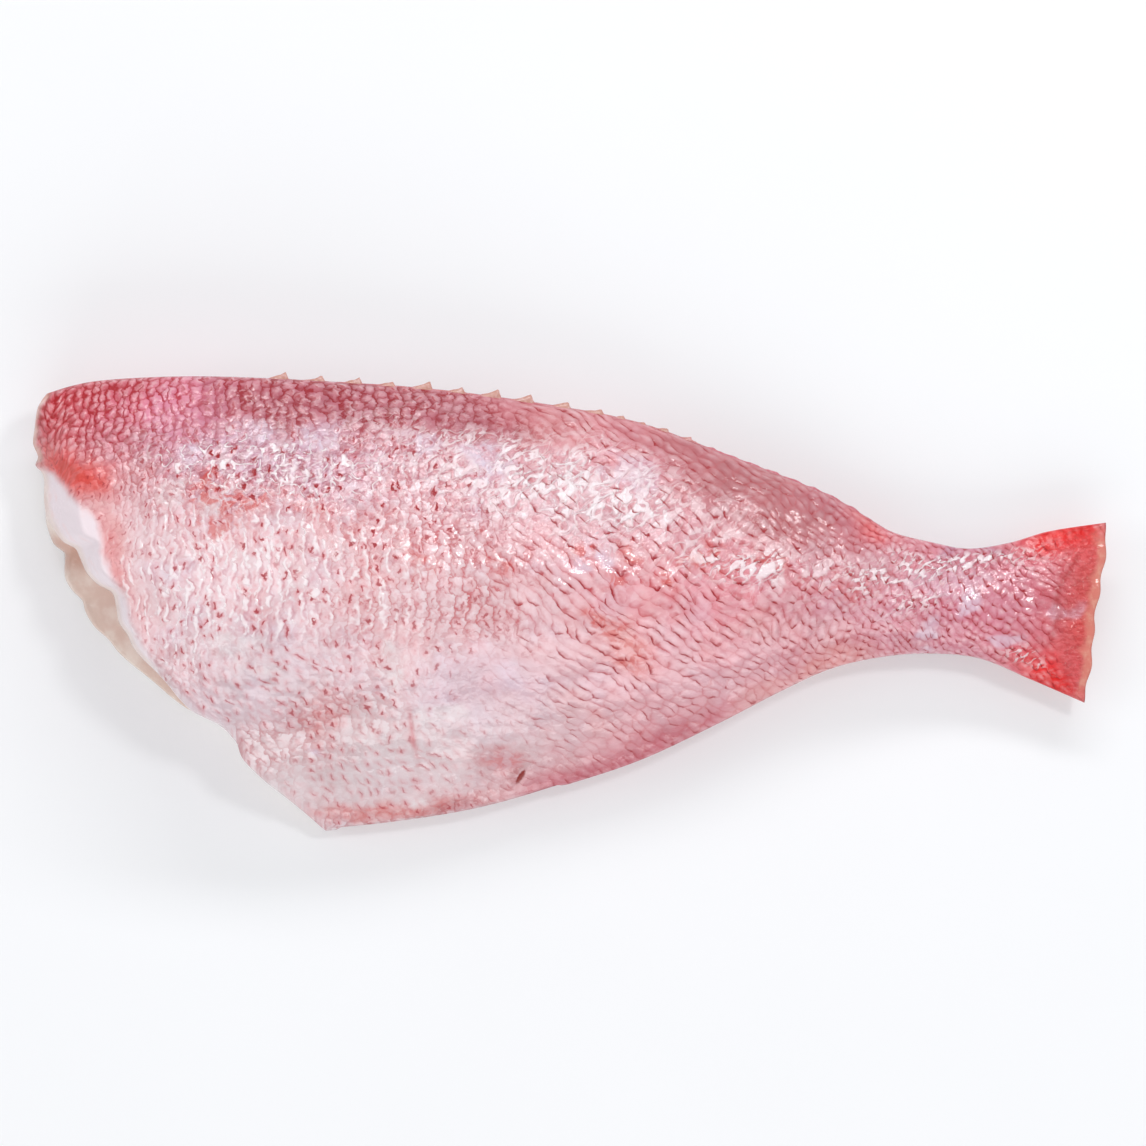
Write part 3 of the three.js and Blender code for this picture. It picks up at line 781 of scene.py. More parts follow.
class MeshBuilder:
    """Points with their skin values, and faces, of one mesh."""

    VECTORS = ("tint", "plane", "columns", "rows", "marks", "areas", "stains", "cut", "films")
    FIELDS = {**dict.fromkeys(VECTORS, 3), "unrolled": 2}

    def __init__(self):
        self.points = []
        self.fields = {name: [] for name in self.FIELDS}
        self.faces = []
        self.shared = []
        self.count = 0

    def add(self, points, **fields):
        shape = points.shape[:-1]
        ids = np.arange(self.count, self.count + int(np.prod(shape))).reshape(shape)
        self.count += ids.size
        self.points.append(points.reshape(-1, 3))
        for name, width in self.FIELDS.items():
            value = np.broadcast_to(fields.get(name, 0.0), shape + (width,))
            self.fields[name].append(value.reshape(-1, width))
        return ids

    def share(self, ids, others):
        """Makes points one with others, while each keeps its own skin values."""
        self.shared.append([np.ravel(both) for both in np.broadcast_arrays(ids, others)])

    def quads(self, a, b, c, d):
        self.faces.extend(np.stack([a, b, c, d], axis=-1).reshape(-1, 4).tolist())

    def strip(self, many, few):
        """Joins a row of many ids to a row of few ids, whose steps divide those of the first."""
        ratio = (len(many) - 1) // (len(few) - 1)
        for k in range(len(few) - 1):
            part = many[k * ratio:(k + 1) * ratio + 1]
            half = ratio // 2
            for n in range(ratio):
                self.faces.append([part[n], part[n + 1], few[k] if n < half else few[k + 1]])
            self.faces.append([part[half], few[k + 1], few[k]])

    def build(self, name, offset):
        owner = np.arange(self.count)
        for ids, others in self.shared:
            owner[ids] = owner[others]
        kept, place = np.unique(owner, return_inverse=True)
        points = (np.concatenate(self.points)[kept] + offset) * MM
        faces, corners = [], []
        for face in self.faces:
            ring = [i for n, i in enumerate(face) if place[i] != place[face[n - 1]]]
            if len(ring) > 2:
                faces.append([int(place[i]) for i in ring])
                corners.extend(ring)
        mesh = bpy.data.meshes.new(name)
        mesh.from_pydata(points.tolist(), [], faces)
        for field in self.FIELDS:
            data = np.concatenate(self.fields[field]).astype(np.float32)[corners].ravel()
            if field == "unrolled":
                mesh.uv_layers.new(name="OFBake").data.foreach_set("uv", data)
            else:
                mesh.attributes.new(field, "FLOAT_VECTOR", "CORNER").data.foreach_set("vector", data)
        mesh.polygons.foreach_set("use_smooth", [True] * len(mesh.polygons))
        mesh.validate()
        mesh.update()
        piece = bpy.data.objects.new(name, mesh)
        bpy.context.scene.collection.objects.link(piece)
        return piece


# Where each surface lies on the unrolled sheet: left, bottom, width, height
FLANK_SHEET = (0.02, 0.02, 0.9, 0.96)
HEAD_SHEET = (0.93, 0.02, 0.06, 0.45)
TAIL_SHEET = (0.93, 0.52, 0.06, 0.45)
FIN_SHEET = (0.02, 0.1, 0.96, 0.8)


def on_sheet(sheet, along, across):
    left, bottom, width, height = sheet
    return stacked(left + width * along, bottom + height * across)


# White flesh at the head cut, the blush and the raised lip of the skin beside it
SKIN_EDGE_WANDER = [(0.3, 4, 31), (0.5, 1.3, 32)]
FLESH_BLEND = (1.4, -1.4)
FLESH_SPAN = (-15, 31.5, 3)
FLESH_CALM = 0.85
CUT_FADE = (0, 0.8)
BLUSH_WANDER = [(2, 3, 36)]
BLUSH_REACH = (7, 0)
BLUSH_SPAN = (0, 24, 8)
BLUSH_SHARES = (0.3, 0.55)
BLUSH_RISE = (0, 10)
LIP_HEIGHT = 0.25
LIP_WIDTH = (4, 0.5)
LIP_SPAN = (-12, 31, 6)
LIP_FADE = (0, 2)
# Tan rim of the cut, along the flesh and along the nape
FLESH_RIM = 0.7
FLESH_RIM_WIDTH = (2.2, 0.3)
NAPE_RIM = 0.65
NAPE_RIM_WANDER = [(0.5, 1.5, 37)]
NAPE_RIM_WIDTH = (1.7, 0.2)
NAPE_RIM_SPAN = (30, 49, 3)
# Crease at the base of the tail fin, with its line as y, x
FIN_BASE = [(-12, 106.5), (-7.8, 107.5), (-1.6, 109.3), (1.1, 108.4), (4.5, 109.6), (10, 112.8), (14, 115)]
CREASE_WANDER = [(0.4, 2, 35)]
CREASE_WIDTH = 0.6
CREASE_SPAN = (-11, 13, 4)
CREASE_SHADE = (0.2, 0.5, 0.5)
CREASE_DEPTH = 0.3
# Pale end of the tail
STUMP_START, STUMP_FULL = 3.2, 1.2
STUMP_START_WANDER = [(1.3, 3, 33)]
STUMP_FULL_WANDER = [(0.5, 2, 34)]
STUMP_SHARES = (0.15, 0.9)
STUMP_SPAN = (-22, 18, 6)
# Vent, and the part of the underside that is pressed flat
VENT_SLIT = (-11.3, -38.6, 1.9, 0.6, 56)
VENT_DEPTH = 0.6
PRESSED = (3, 0.2)

fin_base = through(FIN_BASE)


class Cuts:
    """Marks of the head cut, the tail and the vent on the upper flank."""

    def __init__(self, x, y, u, v):
        inset = inset_from_cut(upper_along(u, v), v)
        past = x - skin_edge(y) + wander(x, y, SKIN_EDGE_WANDER)
        self.flesh = ramp(past, *FLESH_BLEND) * hump(y, *FLESH_SPAN)
        blush = ramp(past + wander(x, y, BLUSH_WANDER), *BLUSH_REACH) ** 2 * hump(y, *BLUSH_SPAN)
        self.blush = blend(*BLUSH_SHARES, ramp(y, *BLUSH_RISE)) * blush
        nape = ramp(inset + wander(x, y, NAPE_RIM_WANDER), *NAPE_RIM_WIDTH) * hump(y, *NAPE_RIM_SPAN)
        self.rim = np.maximum(FLESH_RIM * self.flesh * ramp(inset, *FLESH_RIM_WIDTH), NAPE_RIM * nape)
        from_base = x - fin_base(y) + wander(x, y, CREASE_WANDER)
        self.crease = np.exp(-((from_base / CREASE_WIDTH) ** 2)) * hump(y, *CREASE_SPAN)
        start = STUMP_START + wander(y, x, STUMP_START_WANDER)
        full = STUMP_FULL + wander(y, x, STUMP_FULL_WANDER)
        self.stump = blend(*STUMP_SHARES, hump(y, *STUMP_SPAN)) * ramp((1 - u) * reach(v), start, full)
        self.slit = soft_patch(x, y, VENT_SLIT)
        lip = (1 - self.flesh) * ramp(past, *LIP_WIDTH) * hump(y, *LIP_SPAN) * ramp(inset, *LIP_FADE)
        self.calm = (1 - FLESH_CALM * self.flesh) * ramp(inset, *CUT_FADE)
        self.rise = LIP_HEIGHT * lip - VENT_DEPTH * self.slit - CREASE_DEPTH * self.crease


def flank(builder, u, v, points, upper):
    """Adds one flank with its relief, and returns its points' ids and the tan rim along its head cut."""
    girth = girth_of(points, v)
    grid_v = np.broadcast_to(v, girth.shape)
    grid_u = np.broadcast_to(u[:, None], girth.shape)
    skin = Skin(grid_v, points, girth, 0 if upper else UNDERSIDE_SHIFT)
    tint, relief, normal = skin.tint, skin.relief, normals_of(points)
    flesh = rim = stump = slit = np.zeros_like(girth)
    if upper:
        cuts = Cuts(points[..., 0], points[..., 1], grid_u, grid_v)
        flesh, rim, stump, slit = cuts.flesh, cuts.rim, cuts.stump, cuts.slit
        tint = blend(tint, BLUSH, cuts.blush[..., None]) * (1 - cuts.crease[..., None] * CREASE_SHADE)
        relief = relief * cuts.calm + cuts.rise
        sheet_v = (1 + grid_v) / 2
    else:
        normal = -normal
        relief = relief * (1 - ramp(points[..., 2], *PRESSED))
        sheet_v = (1 - grid_v) / 2
    shaped = points + normal * relief[..., None]
    shaped[..., 2] = np.maximum(shaped[..., 2], 0)
    ids = builder.add(
        shaped,
        tint=tint,
        columns=stacked(skin.column, skin.column_pad, skin.vein),
        rows=stacked(skin.row, skin.row_pad, skin.squiggle),
        plane=skin.plane,
        marks=stacked(skin.groove, skin.pit, skin.thread),
        areas=stacked(skin.turn, skin.film_and_highlight, slit),
        stains=stacked(skin.slant, skin.blood, skin.hollow),
        cut=stacked(flesh, rim, stump),
        films=stacked(skin.dry, 0, 0),
        unrolled=on_sheet(FLANK_SHEET, grid_u, sheet_v),
    )
    return ids, rim[0]


# Head face, as shares of its height from the upper edge and of its length from the belly tip
LINING_FROM_TO = (0.28, 0.42)
LINING_END = (0.9, 0.84)
RIM_FADE = (0.16, 0)
CORNER_FROM_TO = (0.2, 0.4)
SLICED_FROM_TO = (0, 0.1)
# Tail face: shares of its height, and how far its middle is sunk
TAIL_ROWS = [0, 0.3, 0.7]
TAIL_HOLLOW = 0.25


def join_face(builder, face, top, under_ring, under):
    """Makes the edges of an end's face one with the flanks' edges."""
    builder.share(face[0], top)
    builder.share(face[:, 0], top[0])
    builder.share(face[:, -1], top[-1])
    builder.share(under_ring, under)


def head_end(builder, v_up, v_low, rim, top, under, lower):
    """Adds the head cut's face: the upper wall's cut, the mouth, then the lining on the lower wall."""
    share = np.linspace(0, 1, FACE_ROWS + 1)[:-1, None]
    lining = ramp(share, *LINING_FROM_TO) * ramp(v_up, *LINING_END)
    lining = np.maximum(lining, rim * ramp(share, *RIM_FADE))
    points = head_face(v_up, FACE_ROWS)[:-1]
    # Painted shade: darker tan on the lining at the cavity's mouth
    corner = hump(points[..., 1], *CORNER_SHADE_SPAN) * ramp(share, *CORNER_FROM_TO)
    face = builder.add(
        points,
        tint=CRIMSON,
        cut=stacked(1 - lining, lining, 0),
        films=stacked(0, corner, ramp(share, *SLICED_FROM_TO)),
        unrolled=on_sheet(HEAD_SHEET, share, v_up),
    )
    ring = builder.add(
        lower,
        tint=CRIMSON,
        cut=stacked(0, ramp(v_low, *LINING_END), 0),
        unrolled=on_sheet(HEAD_SHEET, 1, v_low),
    )
    join_face(builder, face, top, ring, under)
    builder.quads(face[:-1, :-1], face[:-1, 1:], face[1:, 1:], face[1:, :-1])
    builder.strip(face[-1], ring)


def tail_end(builder, v_up, v_low, upper, top, under, lower):
    """Adds the slightly hollow face of the tail cut."""
    share = np.array(TAIL_ROWS)[:, None]
    rim_low = lift(plan(1.0, v_up), lower_height(np.ones_like(v_up), v_up))
    points = blend(upper, rim_low, share[..., None])
    points[1:, :, 0] -= TAIL_HOLLOW
    face = builder.add(points, tint=SALMON, cut=(0, 0, 1), unrolled=on_sheet(TAIL_SHEET, share, v_up))
    ring = builder.add(lower, tint=SALMON, cut=(0, 0, 1), unrolled=on_sheet(TAIL_SHEET, 1, v_low))
    join_face(builder, face, top, ring, under)
    builder.quads(face[:-1, :-1], face[1:, :-1], face[1:, 1:], face[:-1, 1:])
    builder.strip(face[-1][::-1], ring[::-1])


def body():
    builder = MeshBuilder()
    u = np.linspace(0, 1, STATIONS + 1)
    v_up = even_shares(UPPER_ACROSS)
    v_low = v_up[:: UPPER_ACROSS // LOWER_ACROSS]
    grid_u, grid_v = np.meshgrid(u, v_up, indexing="ij")
    along = upper_along(grid_u, grid_v)
    upper = lift(plan(along, grid_v), upper_height(along, grid_v))
    upper[:, 0] = belly_edge(u)
    upper[:, -1] = lift(plan(u, 1.0), edge_height(u, 1.0))
    low_u, low_v = np.meshgrid(u, v_low, indexing="ij")
    lower = lift(plan(low_u, low_v), lower_height(low_u, low_v))
    lower[:, 0], lower[:, -1] = upper[:, 0], upper[:, -1]

    top, rim = flank(builder, u, v_up, upper, True)
    under, _ = flank(builder, u, v_low, lower, False)
    builder.share(under[:, 0], top[:, 0])
    builder.share(under[:, -1], top[:, -1])
    builder.quads(top[:-1, :-1], top[1:, :-1], top[1:, 1:], top[:-1, 1:])
    builder.quads(under[:-1, :-1], under[:-1, 1:], under[1:, 1:], under[1:, :-1])
    head_end(builder, v_up, v_low, rim, top[0], under[0], lower[0])
    tail_end(builder, v_up, v_low, upper[-1], top[-1], under[-1], lower[-1])
    return builder


# Thin strip along the back: its stations, its ends as shares of the back line, and its low fringe
FRINGE_STATIONS = 420
FRINGE_FROM, FRINGE_TO = 0.185, 0.8
FRINGE_SPAN = (0.58, FRINGE_TO, 0.03)
FRINGE_HEIGHT = 0.35
FRINGE_SINK = 0.1
FRINGE_RIPPLE = 1.3
# Stubs: how far the web between them and their own feet are sunk, chance shifts, and where they are tan
FIN_SEED = 5
WEB_SINK = 0.6
STUB_SINK = 0.3
STUB_SHIFT = 0.5
FIN_WANDER = [(0.12, 1.1, 41)]
TAN_HEIGHT = (-0.4, 0.5)
TAN_TO = (0.63, 0.57)
# One side of the strip's section: millimetres below the back line or share of the height past it, and
# share of half the thickness
STUB_SECTION = [(-STUB_ROOT, 1), (-STUB_ROOT / 4, 1), (0.6, 0.7), (1, 0.25)]
LINE_SAMPLES = np.linspace(0, 1, 801)


def fin_height(place, length):
    """How far the cut fin stands past the back line at each place along it."""
    dice = np.random.default_rng(FIN_SEED)
    height = np.full_like(place, -WEB_SINK)
    for first, last, number, long, tall in (SPINES, SOFT_RAYS):
        for n in range(number):
            tip = first + (last - first) * n / (number - 1) + (STUB_LEAN - 0.5) * long / length
            behind = (place - tip) * length + dice.uniform(-STUB_SHIFT, STUB_SHIFT)
            before = np.clip(1 + behind / (long * STUB_LEAN), 0, 1) ** STUB_CURVE
            after = np.clip(1 - behind / (long * (1 - STUB_LEAN)), 0, 1)
            tooth = np.minimum(before, after) * (tall + STUB_SINK) * dice.uniform(*STUB_RANGE) - STUB_SINK
            height = np.maximum(height, tooth)
    ripple = 0.6 + 0.4 * np.sin(place * length * FRINGE_RIPPLE)
    fringe = FRINGE_HEIGHT * hump(place, *FRINGE_SPAN) * ripple - FRINGE_SINK
    return np.maximum(height, fringe) + wander(place * length, 0 * place, FIN_WANDER)


def fin_stubs():
    """A thin toothed strip along the back: stubs of spines and rays with scraps of web between them."""
    builder = MeshBuilder()
    place = np.linspace(FRINGE_FROM, FRINGE_TO, FRINGE_STATIONS + 1)
    line = back_line(place)
    tangent = np.gradient(line, axis=0)
    tangent /= np.linalg.norm(tangent, axis=1, keepdims=True)
    outward = np.stack([-tangent[:, 1], tangent[:, 0]], axis=1)
    length = lengths_along(back_line(LINE_SAMPLES))[-1]
    tall = fin_height(place, length)
    half = STUB_THICKNESS / 2
    ring = [(out, -half * side) for out, side in STUB_SECTION]
    ring += [(out, half * side) for out, side in reversed(STUB_SECTION)]
    ring.append(ring[0])
    points = []
    for out, side in ring:
        reach_out = np.where(out > 0, np.maximum(tall * out, -STUB_ROOT / 4), out)
        flat = line + outward * reach_out[:, None]
        points.append(lift(flat, edge_height(place, 1.0) + side))
    shade = (ramp(tall, *TAN_HEIGHT) * ramp(place, *TAN_TO))[:, None, None]
    along = (place - FRINGE_FROM) / (FRINGE_TO - FRINGE_FROM)
    ids = builder.add(
        np.stack(points, axis=1),
        tint=blend(ROSE, STUB_TAN, shade),
        unrolled=on_sheet(FIN_SHEET, along[:, None], np.linspace(0, 1, len(ring))),
    )
    builder.share(ids[:, -1], ids[:, 0])
    builder.quads(ids[:-1, :-1], ids[1:, :-1], ids[1:, 1:], ids[:-1, 1:])
    builder.faces.append(ids[0, :-1].tolist())
    builder.faces.append(ids[-1, :-1][::-1].tolist())
    return builder


class Wire:
    """A value in a material's nodes that takes ordinary arithmetic."""

    def __init__(self, tree, socket):
        self.tree, self.socket = tree, socket

    def math(self, operation, *others):
        node = self.tree.nodes.new("ShaderNodeMath")
        node.operation = operation
        for socket, value in zip(node.inputs, (self, *others)):
            feed(self.tree, socket, value)
        return Wire(self.tree, node.outputs[0])

    def __add__(self, other):
        return self.math("ADD", other)

    def __sub__(self, other):
        return self.math("SUBTRACT", other)

    def __rsub__(self, other):
        return (self * -1) + other

    def __mul__(self, other):
        return self.math("MULTIPLY", other)

    __radd__, __rmul__ = __add__, __mul__

    def least(self, other):
        return self.math("MINIMUM", other)

    def most(self, other):
        return self.math("MAXIMUM", other)

    def fraction(self):
        return self - self.math("FLOOR")

    def bell(self, width):
        """1 where this is 0, falling off to 0 within about the given width."""
        scaled = self * (1 / width)
        return (scaled * scaled * -1).math("EXPONENT")

    def rise(self, low, high):
        node = self.tree.nodes.new("ShaderNodeMapRange")
        node.interpolation_type = "SMOOTHSTEP"
        feed(self.tree, node.inputs["Value"], self)
        node.inputs["From Min"].default_value = low
        node.inputs["From Max"].default_value = high
        return Wire(self.tree, node.outputs[0])


def feed(tree, socket, value):
    if isinstance(value, Wire):
        tree.links.new(value.socket, socket)
    else:
        socket.default_value = value


class Paint:
    """A new material with shorthand for its nodes."""

    def __init__(self, name):
        self.material = bpy.data.materials.new(name)
        self.material.use_nodes = True
        self.tree = self.material.node_tree
        self.shader = self.tree.nodes["Principled BSDF"]

    def node(self, kind, output=0, inputs=None, **settings):
        node = self.tree.nodes.new(kind)
        for key, value in settings.items():
            setattr(node, key, value)
        for key, value in (inputs or {}).items():
            feed(self.tree, node.inputs[key], value)
        return Wire(self.tree, node.outputs[output])

    def attribute(self, name):
        return self.node("ShaderNodeAttribute", "Vector", attribute_name=name)

    def parts(self, vector):
        node = self.tree.nodes.new("ShaderNodeSeparateXYZ")
        feed(self.tree, node.inputs[0], vector)
        return [Wire(self.tree, socket) for socket in node.outputs]

    def mixed(self, a, b, share, way="MIX"):
        """Colours a and b mixed by share."""
        node = self.tree.nodes.new("ShaderNodeMix")
        node.data_type, node.blend_type = "RGBA", way
        feed(self.tree, node.inputs[0], share)
        for socket, colour in ((node.inputs[6], a), (node.inputs[7], b)):
            feed(self.tree, socket, colour if isinstance(colour, Wire) else (*colour, 1))
        return Wire(self.tree, node.outputs[2])

    def shaded(self, colour, shade, share):
        """Colour multiplied by a shade, by share."""
        return self.mixed(colour, shade, share, "MULTIPLY")

    def vector(self, operation, a, b):
        return self.node("ShaderNodeVectorMath", 0, {0: a, 1: b}, operation=operation)

    def noise(self, size, detail, seed):
        """Noise from about 0.2 to 0.8 with features of the given size in millimetres."""
        place = self.node("ShaderNodeTexCoord", "Object")
        moved = self.vector("ADD", place, (seed, seed * 1.7, seed * 0.6))
        settings = {"Vector": moved, "Scale": 1 / (size * MM), "Detail": detail}
        return self.node("ShaderNodeTexNoise", 0, settings)

    def finish(self, **values):
        for name, value in values.items():
            feed(self.tree, self.shader.inputs[name.replace("_", " ")], value)
        return self.material


def cells_of(paint, lattice, jitter):
    """Distance to the edge, place in the cell and three chances of an irregular lattice's cells."""
    settings = {"Vector": lattice, "Scale": 1.0, "Randomness": jitter}

    def cells(output, feature):
        kind = {"voronoi_dimensions": "2D", "feature": feature}
        return paint.node("ShaderNodeTexVoronoi", output, settings, **kind)

    away = paint.vector("SUBTRACT", lattice, cells("Position", "F1"))
    return cells("Distance", "DISTANCE_TO_EDGE"), paint.parts(away)[:2], paint.parts(cells("Color", "F1"))


def cell_marks(paint, lattice, slant):
    """Painted shadow on each cell's left and lower side, painted highlight on its top, then pit, halo, rim
    and vein of the column lattice, with widths as shares of a cell.
    """
    edge, (dr, ds), (first, second, third) = cells_of(paint, lattice, COLUMN_JITTER)
    # Painted shade on the left and lower side of each pad, as if lit from the upper right
    left = (dr * -1).rise(-0.1, 0.3)
    below = (ds * -1).rise(0.0, 0.45) * 0.55
    shadow = (edge.bell(0.24) * left.most(below) * (0.9 + 0.5 * second)).least(1.0)
    # Painted highlight on the pad's upper right
    top = (dr - 0.08).bell(0.28) * (ds - 0.1).bell(0.32)
    upright = 1 - slant
    lean = slant * (first * 1.3 - 0.05) + upright * (second - 0.5)
    bend = upright * (first - 0.5) * 3
    across = dr + ds * lean + ds * ds * bend
    deep = third.rise(0.1, 0.8).most(slant * (third * 0.8 + 0.15))
    thin, tall = across * (slant * 4 + 7), ds * (4 - slant * (second * 2.2 - 0.2))
    pit = (1 - (thin * thin + tall * tall).rise(0.0, 1.2)) * deep
    halo = across.bell(0.26) * ds.bell(0.38) * (deep * 0.6 + 0.4)
    sides = dr * dr * (dr * dr + ds * ds + 0.01).math("POWER", -1.0)
    rim = edge.bell(0.16) * (sides * 0.75 + 0.25)
    vein = edge.bell(0.07) * (sides * 0.8 + 0.2) * first.rise(0.2, 0.6)
    return shadow, top, pit, halo, rim, vein


def row_marks(paint, lattice):
    """The same of the slanted lattice, whose pads lie in rows."""
    edge, (dr, ds), (first, second, third) = cells_of(paint, lattice, ROW_JITTER)
    f = paint.parts(lattice)[0].fraction()
    seam = f.least(1 - f)
    # Painted shadow on each pad's lower-left side and along the row seams, and a painted highlight on its
    # top
    low = (dr * -1).rise(0.0, 0.35)
    shadow = (edge.bell(0.22) * (low * 0.7 + 0.15)).most(seam.bell(0.2) * 0.4) * (second * 0.8 + 0.45)
    top = (dr - 0.1).bell(0.26) * ds.bell(0.34) * (first * 0.7 + 0.3)
    place = ds - (first - 0.5) * 0.5
    sunk = (dr * -1).rise(0.1, 0.35) * place.bell(0.26) * third.rise(0.3, 0.6)
    pit = (edge.bell(0.14) * sunk * 1.5).least(1.0)
    halo = edge.bell(0.3) * low * place.bell(0.4) * third
    vein = edge.bell(0.09) * (third * 0.7 + 0.3)
    return shadow, top, pit, halo, edge.bell(0.16), vein


# Colours and shades of the marks
GROOVE_SHADE = (0.64, 0.17, 0.19)
HALO_SHADE = (0.9, 0.52, 0.54)
LEE_SHADE = (0.82, 0.6, 0.64)
RAY_SHADE = (0.8, 0.5, 0.5)
PIT_RED = linear(158, 28, 38)
VEIN_RED = linear(196, 84, 88)
BLOOD_RED = linear(206, 66, 56)
HOLLOW_PLUM = linear(168, 92, 112)
# Pale pink: painted highlight on the pad tops, and pale streaks on the cut fin
PALE_AND_HIGHLIGHT_PINK = linear(244, 214, 219)
# Pale ridges in their own colour; on the squiggles this white is partly painted highlight
RIDGE_AND_GLINT_WHITE = linear(252, 240, 243)
# White of the painted highlights on the wet film
HIGHLIGHT_WHITE = linear(254, 240, 244)
FLESH_WHITE = linear(240, 225, 231)
FLESH_BLUSH = linear(242, 212, 214)
LAYER_PINK = linear(232, 176, 178)
LINING_TAN = linear(226, 198, 184)
LINING_PALE = linear(238, 220, 208)
LINING_SHADE = linear(204, 160, 142)
TAIL_TAN = linear(212, 126, 112)
STUMP_PALE = linear(218, 152, 134)
VENT_RED = linear(146, 44, 40)

# Strengths of the marks' colours
TOP_HIGHLIGHT_SHARE = 0.38
PLUM_SHARE = 0.8
RAY_SHARE = 0.85
BLOOD_MOST = 0.7
GAP_SHADE_SHARE = 0.6
HIGHLIGHT_SHARE = 0.88
RIDGE_SHARE = 0.88
LAYER_SHARE = 0.42
CORNER_SHADE_SHARE = 0.9

# Heights of the fine marks, in millimetres
RIDGE_HEIGHT = 0.13
FLAKE_HEIGHT = 0.12
TOP_HEIGHT = 0.12
GROOVE_DEPTH = 0.06
PIT_DEPTH = 0.05
CRUMPLE_HEIGHT = 0.6
FIBRE_HEIGHT = 0.12

# Film and flesh
FLAKE_SLOPE = math.radians(35)
FLAKE_LENGTH, FLAKE_WIDTH = 3.4, 2.0
STALK_FROM_TO = (52, 70)
RAY_STRETCH = 0.45
FLESH_LAYERS = 75.0
COLUMN_SHAKE, SLANT_CALM, ROW_SHAKE = 0.8, 0.35, 0.3

# Gloss
SKIN_ROUGHNESS = 0.42
SKIN_SPECULAR = 0.2
CUT_ROUGHER = 0.08
COAT_ROUGHNESS = 0.08
COAT_IOR = 1.6
DULL_GROOVES, DULL_FLESH, DULL_MOST = 0.9, 0.6, 0.85


